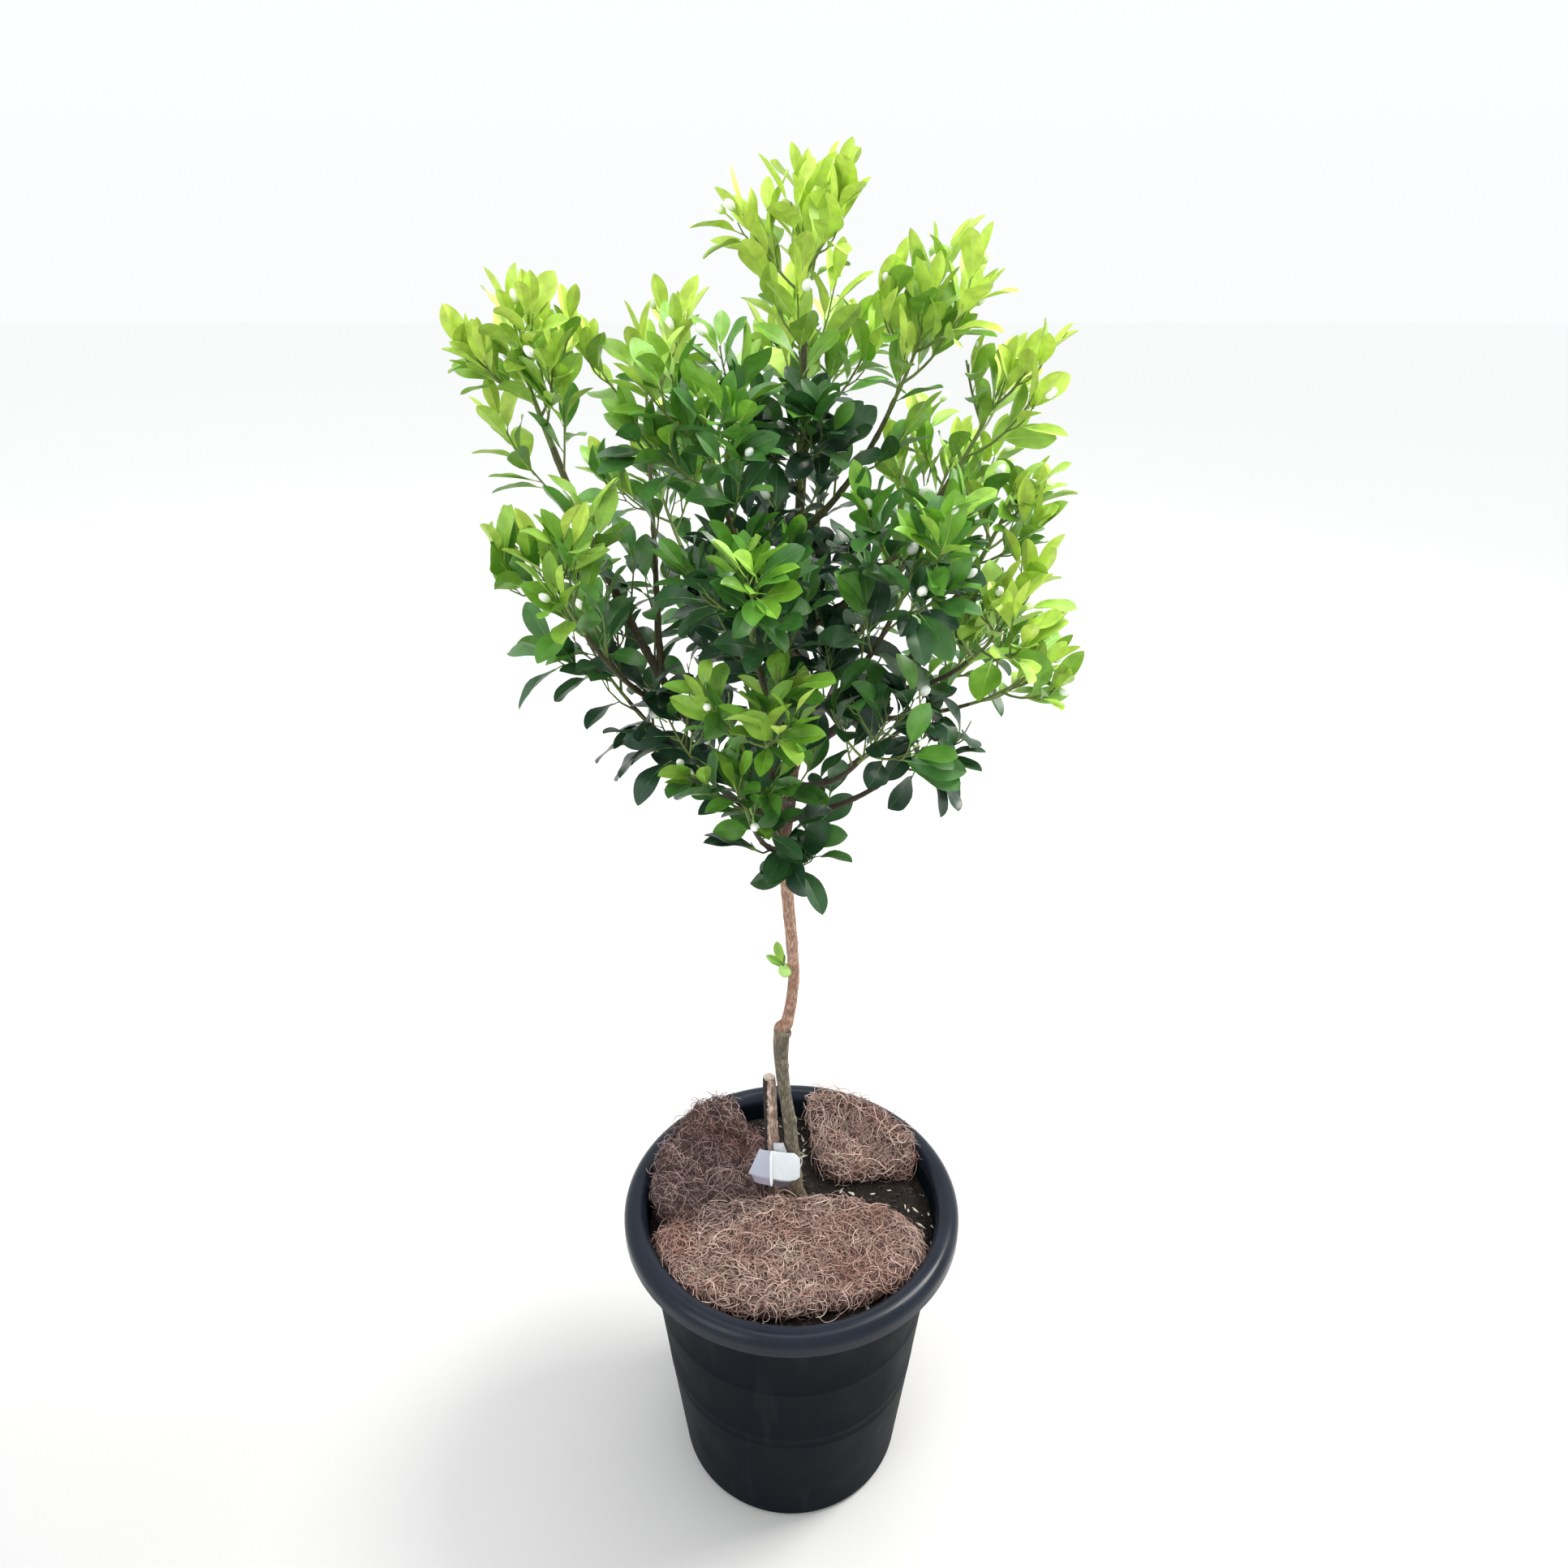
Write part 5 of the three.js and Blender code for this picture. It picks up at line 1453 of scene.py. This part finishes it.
for seed, mat in enumerate(mats):
    pad = make_piece("coir_pad_" + mat["name"], *mat_pad(mat), felt_painted_shade, crease=60)
    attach(pad, "root")
    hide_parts("coir_mat_" + mat["name"])
    bed = pad.copy()
    bed.data = pad.data.copy()
    bpy.context.scene.collection.objects.link(bed)
    shows = bed.data.attributes.new("shows", "FLOAT", "POINT")
    for k, vertex in enumerate(bed.data.vertices):
        shows.data[k].value = 1.0 if vertex.co.z > mix_top + 0.006 else 0.0
    for tint, (density, finish) in (shaded_fibres_painted if mat["name"] == "left" else plain_fibres).items():
        fibres = made_by_nodes(f"coir_{tint}_{mat['name']}", bed, scatter, {
            "Forms": fibre_forms, "Per Square Metre": density, "Smallest": 0.55, "Largest": 1.15,
            "Tilt": 0.30, "Seed": 10 * seed + len(tint), "Material": finish})
        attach(fibres, "root")
        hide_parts("coir_mat_" + mat["name"])
    bpy.data.objects.remove(bed)

# ------------------------------------------------------------------------------ plant label
# A bare white label, die-cut from thin polypropylene sheet: two flaps on a crease, the left one folded
# back and the right one forward, over a duller skirt whose tongue is tucked into the mulch. It hangs on
# a clear band that loops round both stems.

label_middle, label_front, label_foot = -0.0215, 0.0035, 0.386
flap_height = 0.034
left_fold, right_fold, label_lean = math.radians(-15), math.radians(10), math.radians(8)
skirt_foot, tongue_from = -0.020, -0.0085  # heights below the foot of the flaps
skirt_half, tongue_half = 0.0225, 0.0035


def sheet_piece(name, grid, thickness, material):
    """A closed sheet of a thickness from a grid of places."""
    rows, columns = len(grid), len(grid[0])
    middle = [place for row in grid for place in row]
    normals = []
    for r in range(rows):
        for c in range(columns):
            down = grid[min(r + 1, rows - 1)][c] - grid[max(r - 1, 0)][c]
            across = grid[r][min(c + 1, columns - 1)] - grid[r][max(c - 1, 0)]
            normals.append(across.cross(down).normalized())
    places = [place + normal * (thickness / 2) for place, normal in zip(middle, normals)]
    places += [place - normal * (thickness / 2) for place, normal in zip(middle, normals)]
    count = rows * columns
    faces = []
    for r in range(rows - 1):
        for c in range(columns - 1):
            a = r * columns + c
            face = (a, a + 1, a + columns + 1, a + columns)
            faces += [face, tuple(count + k for k in reversed(face))]
    edge = [c for c in range(columns)]
    edge += [r * columns + columns - 1 for r in range(1, rows)]
    edge += [(rows - 1) * columns + c for c in range(columns - 2, -1, -1)]
    edge += [r * columns for r in range(rows - 2, 0, -1)]
    for a, b in zip(edge, edge[1:] + edge[:1]):
        faces.append((a, b, count + b, count + a))
    return make_piece(name, places, faces, material, crease=30)


def flap_reach(side, up):
    """How far a flap reaches from the crease at a height: the left one is cut on a slant, and the right
    one has its corners cut off. The short skirt below them ends in a narrow tongue."""
    if up < 0:
        return skirt_half * (1 + 20 * up) if up > tongue_from else tongue_half
    if side < 0:
        return 0.0260 - 0.0130 * up / flap_height
    return 0.0310 - max(0, 0.005 - up) - max(0, up - flap_height + 0.006)


def label_place(share, up):
    """A place on the label's face: a share of a flap's reach from its crease, and up from its foot."""
    side = -1 if share < 0 else 1
    fold = left_fold if share < 0 else right_fold
    reach = abs(share) * flap_reach(side, up)
    bow = 0.0012 * math.sin(math.pi * abs(share))
    point = Vector((side * reach * math.cos(fold), -reach * math.sin(fold) - bow, up))
    if up < 0:
        point.y += 0.15 * up
    point = Euler((-label_lean, 0, 0)).to_matrix() @ point
    return point + Vector((label_middle, label_front, label_foot))


# Milky polypropylene sheet: white on its flaps, with a soft gloss and a slightly scuffed face.
label_white, tree, where = start_material("White polypropylene sheet")
across, _, height = add_node(tree, "ShaderNodeSeparateXYZ", {"Vector": where}).outputs
scuff = add_node(tree, "ShaderNodeTexNoise", {"Vector": where, "Scale": 260, "Detail": 4}).outputs["Fac"]
on_flap = add_node(tree, "ShaderNodeMapRange", {
    "Value": height, "From Min": label_foot - 0.002, "From Max": label_foot + 0.001}).outputs["Result"]
white = add_node(tree, "ShaderNodeMix", {
    "Factor": scuff, 6: linear("#d6e2e6"), 7: linear("#f2f8f9")}, data_type="RGBA").outputs[2]
# The left flap is greyer, as painted shade, and the skirt under it is greyer too; the skirt under the
# right one is darker still, and the tongue is stained brown by the mulch.
on_right = add_node(tree, "ShaderNodeMapRange", {
    "Value": across, "From Min": label_middle - 0.0004, "From Max": label_middle + 0.0004}).outputs["Result"]
flap_tone_painted_shade = add_node(tree, "ShaderNodeMix", {
    "Factor": on_right, 6: linear("#b9c0cd"), 7: white}, data_type="RGBA").outputs[2]
skirt_tone = add_node(tree, "ShaderNodeMix", {
    "Factor": on_right, 6: linear("#958f9e"), 7: linear("#4c474c")}, data_type="RGBA").outputs[2]
painted_shade_and_stain = add_node(tree, "ShaderNodeMapRange", {
    "Value": height, "From Min": label_foot - 0.0080, "From Max": label_foot - 0.0088}).outputs["Result"]
skirt_tone = add_node(tree, "ShaderNodeMix", {
    "Factor": painted_shade_and_stain, 6: skirt_tone, 7: linear("#3a302d")}, data_type="RGBA").outputs[2]
tone = add_node(tree, "ShaderNodeMix", {
    "Factor": on_flap, 6: skirt_tone, 7: flap_tone_painted_shade}, data_type="RGBA").outputs[2]
end_material(tree, {"Base Color": tone, "Roughness": 0.32, "IOR": 1.49}, scuff, 0.12, 0.0003)

label_heights = (flap_height, 0.031, 0.028, 0.022, 0.014, 0.005, 0.003, 0.0008,
                 -0.0008, -0.0045, tongue_from + 0.0001, tongue_from - 0.0001, skirt_foot)
label_grid = [[label_place(share, up) for share in np.linspace(-1, 1, 25)] for up in label_heights]
# The crease is a fat rounded fold, thinner at its ends, that hangs a little below the flaps.
fold_heights = np.linspace(-0.009, flap_height - 0.001, 14)
fold_line = [label_place(0, up) + Vector((0, -0.0010, 0)) for up in fold_heights]
fold_radii = [0.0008, 0.0016] + [0.0019] * 10 + [0.0014, 0.0007]
label_fold = bark_limb(fold_line, fold_radii, 10, lambda k, angle, centre: 0)
crease_white, tree, where = start_material("White polypropylene, folded")
scuff = add_node(tree, "ShaderNodeTexNoise", {"Vector": where, "Scale": 260, "Detail": 4}).outputs["Fac"]
tone = add_node(tree, "ShaderNodeMix", {
    "Factor": scuff, 6: linear("#edf6f6"), 7: linear("#ffffff")}, data_type="RGBA").outputs[2]
end_material(tree, {"Base Color": tone, "Roughness": 0.35, "IOR": 1.49}, scuff, 0.12, 0.0003)
for piece in (
        sheet_piece("label_sheet", label_grid, 0.0008, label_white),
        make_piece("label_crease", *label_fold, crease_white, crease=60)):
    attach(piece, "root")
    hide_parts("plant_label")

# The band and the tab that closes it are of the same film left clear: greyish, glossy, a little cloudy.
clear_film, tree, where = start_material("Clear polypropylene film")
cloud = add_node(tree, "ShaderNodeTexNoise", {"Vector": where, "Scale": 220, "Detail": 3}).outputs["Fac"]
tone = add_node(tree, "ShaderNodeMix", {
    "Factor": cloud, 6: linear("#9b9da0"), 7: linear("#dbe0e4")}, data_type="RGBA").outputs[2]
end_material(tree, {"Base Color": tone, "Roughness": 0.25, "IOR": 1.49}, cloud, 0.2, 0.0004)


tab_height, tab_foot = 0.012, label_foot + flap_height - 0.006
band_middle, band_reach = (-0.0105, 0.023), (0.0222, 0.0152)


def band_place(angle, up):
    """A place on the band, an oval about both stems, at a height over the foot of the flaps."""
    x = band_middle[0] + band_reach[0] * math.cos(angle)
    y = band_middle[1] + band_reach[1] * math.sin(angle)
    return Vector((x, y, label_foot + up))


def tab_place(x, up):
    """A place on the tab, which bows, narrows upward and stands up behind the right flap."""
    back = label_front + 0.0065 + 0.25 * up + 14 * (x - 0.010) ** 2
    return Vector((label_middle + x * (1 - 0.25 * up / tab_height), back, tab_foot + up))


band_angles = np.linspace(-math.pi / 2, 1.5 * math.pi - 0.02, 49)
band = [[band_place(angle, up) for angle in band_angles] for up in (0.0045, 0.0030, 0.0015)]
tab = [[tab_place(x, up) for x in np.linspace(0.003, 0.017, 9)] for up in (tab_height, 0.009, 0.005, 0.0)]
for name, rows in (("label_band", band), ("label_tab", tab)):
    piece = sheet_piece(name, rows, 0.0006, clear_film)
    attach(piece, "root")
    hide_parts("plant_label")

# ------------------------------------------------------------------------------ studio
# A pale floor and soft light: a broad lamp overhead, a key from high on the right and behind that edges
# the stem and rim, and a weak fill from the front left. The camera looks down a little at the tree.
# The floor is a little greyer under the pot, where most light falls, so it shows evenly pale.

floor_finish, tree, where = start_material("Pale studio floor")
far = add_node(tree, "ShaderNodeVectorMath", {0: where}, operation="LENGTH").outputs["Value"]
cloud = add_node(tree, "ShaderNodeTexNoise", {"Vector": where, "Scale": 3}).outputs["Fac"]
ragged = add_node(tree, "ShaderNodeMath", {0: cloud, 1: 0.2, 2: far}, operation="MULTIPLY_ADD").outputs[0]
away = add_node(tree, "ShaderNodeMapRange", {
    "Value": ragged, "From Min": 0.6, "From Max": 4.0}, interpolation_type="SMOOTHSTEP").outputs["Result"]
tone = add_node(tree, "ShaderNodeMix", {
    "Factor": away, 6: linear("#c4c4c3"), 7: linear("#f4f4f3")}, data_type="RGBA").outputs[2]
shader = add_node(tree, "ShaderNodeBsdfPrincipled", {"Base Color": tone, "Roughness": 0.8})
add_node(tree, "ShaderNodeOutputMaterial", {"Surface": shader.outputs["BSDF"]})
floor_mesh = bpy.data.meshes.new("floor")
floor_reach = 15
floor_corners = [(x * floor_reach, y * floor_reach, 0) for x, y in ((-1, -1), (1, -1), (1, 1), (-1, 1))]
floor_mesh.from_pydata(floor_corners, [], [(0, 1, 2, 3)])
floor_mesh.materials.append(floor_finish)
floor = bpy.data.objects.new("floor", floor_mesh)
bpy.context.scene.collection.objects.link(floor)

aim = Vector((0, 0, 0.75))
for name, place, width, power, colour in (
    ("Overhead", (0.2, 0.1, 3.0), 2.2, 40, (1.0, 0.99, 0.96)),
    ("Key", (1.6, 0.5, 2.5), 0.9, 74, (1.0, 0.98, 0.94)),
    ("Fill", (-1.9, -1.9, 1.9), 1.6, 26, (0.92, 0.96, 1.0)),
):
    lamp = bpy.data.lights.new(name, "AREA")
    lamp.size = width
    lamp.energy = power
    lamp.color = colour
    light = bpy.data.objects.new(name, lamp)
    light.location = place
    light.rotation_euler = (aim - light.location).to_track_quat("-Z", "Y").to_euler()
    bpy.context.scene.collection.objects.link(light)

# The walls are a little darker low down, so that they meet the floor without a line.
world = bpy.data.worlds.new("Pale studio")
bpy.context.scene.world = world
world.use_nodes = True
tree = world.node_tree
tree.nodes.clear()
way = add_node(tree, "ShaderNodeTexCoord").outputs["Generated"]
height = add_node(tree, "ShaderNodeSeparateXYZ", {"Vector": way}).outputs["Z"]
rise = add_node(tree, "ShaderNodeMapRange", {"Value": height, "From Max": 0.5}).outputs["Result"]
tone = add_node(tree, "ShaderNodeMix", {
    "Factor": rise, 6: linear("#f3f4f5"), 7: linear("#fbfcfd")}, data_type="RGBA").outputs[2]
glow = add_node(tree, "ShaderNodeBackground", {"Color": tone, "Strength": 1.08})
add_node(tree, "ShaderNodeOutputWorld", {"Surface": glow.outputs["Background"]})
bpy.context.scene.view_settings.view_transform = "Standard"

lens = bpy.data.cameras.new("camera")
lens.lens = 26.1
lens.sensor_width = 36
camera = bpy.data.objects.new("camera", lens)
camera.location = (-0.008, -0.897, 1.315)
camera.rotation_euler = (math.radians(90 - 26.8), 0, 0)
bpy.context.scene.collection.objects.link(camera)
bpy.context.scene.camera = camera
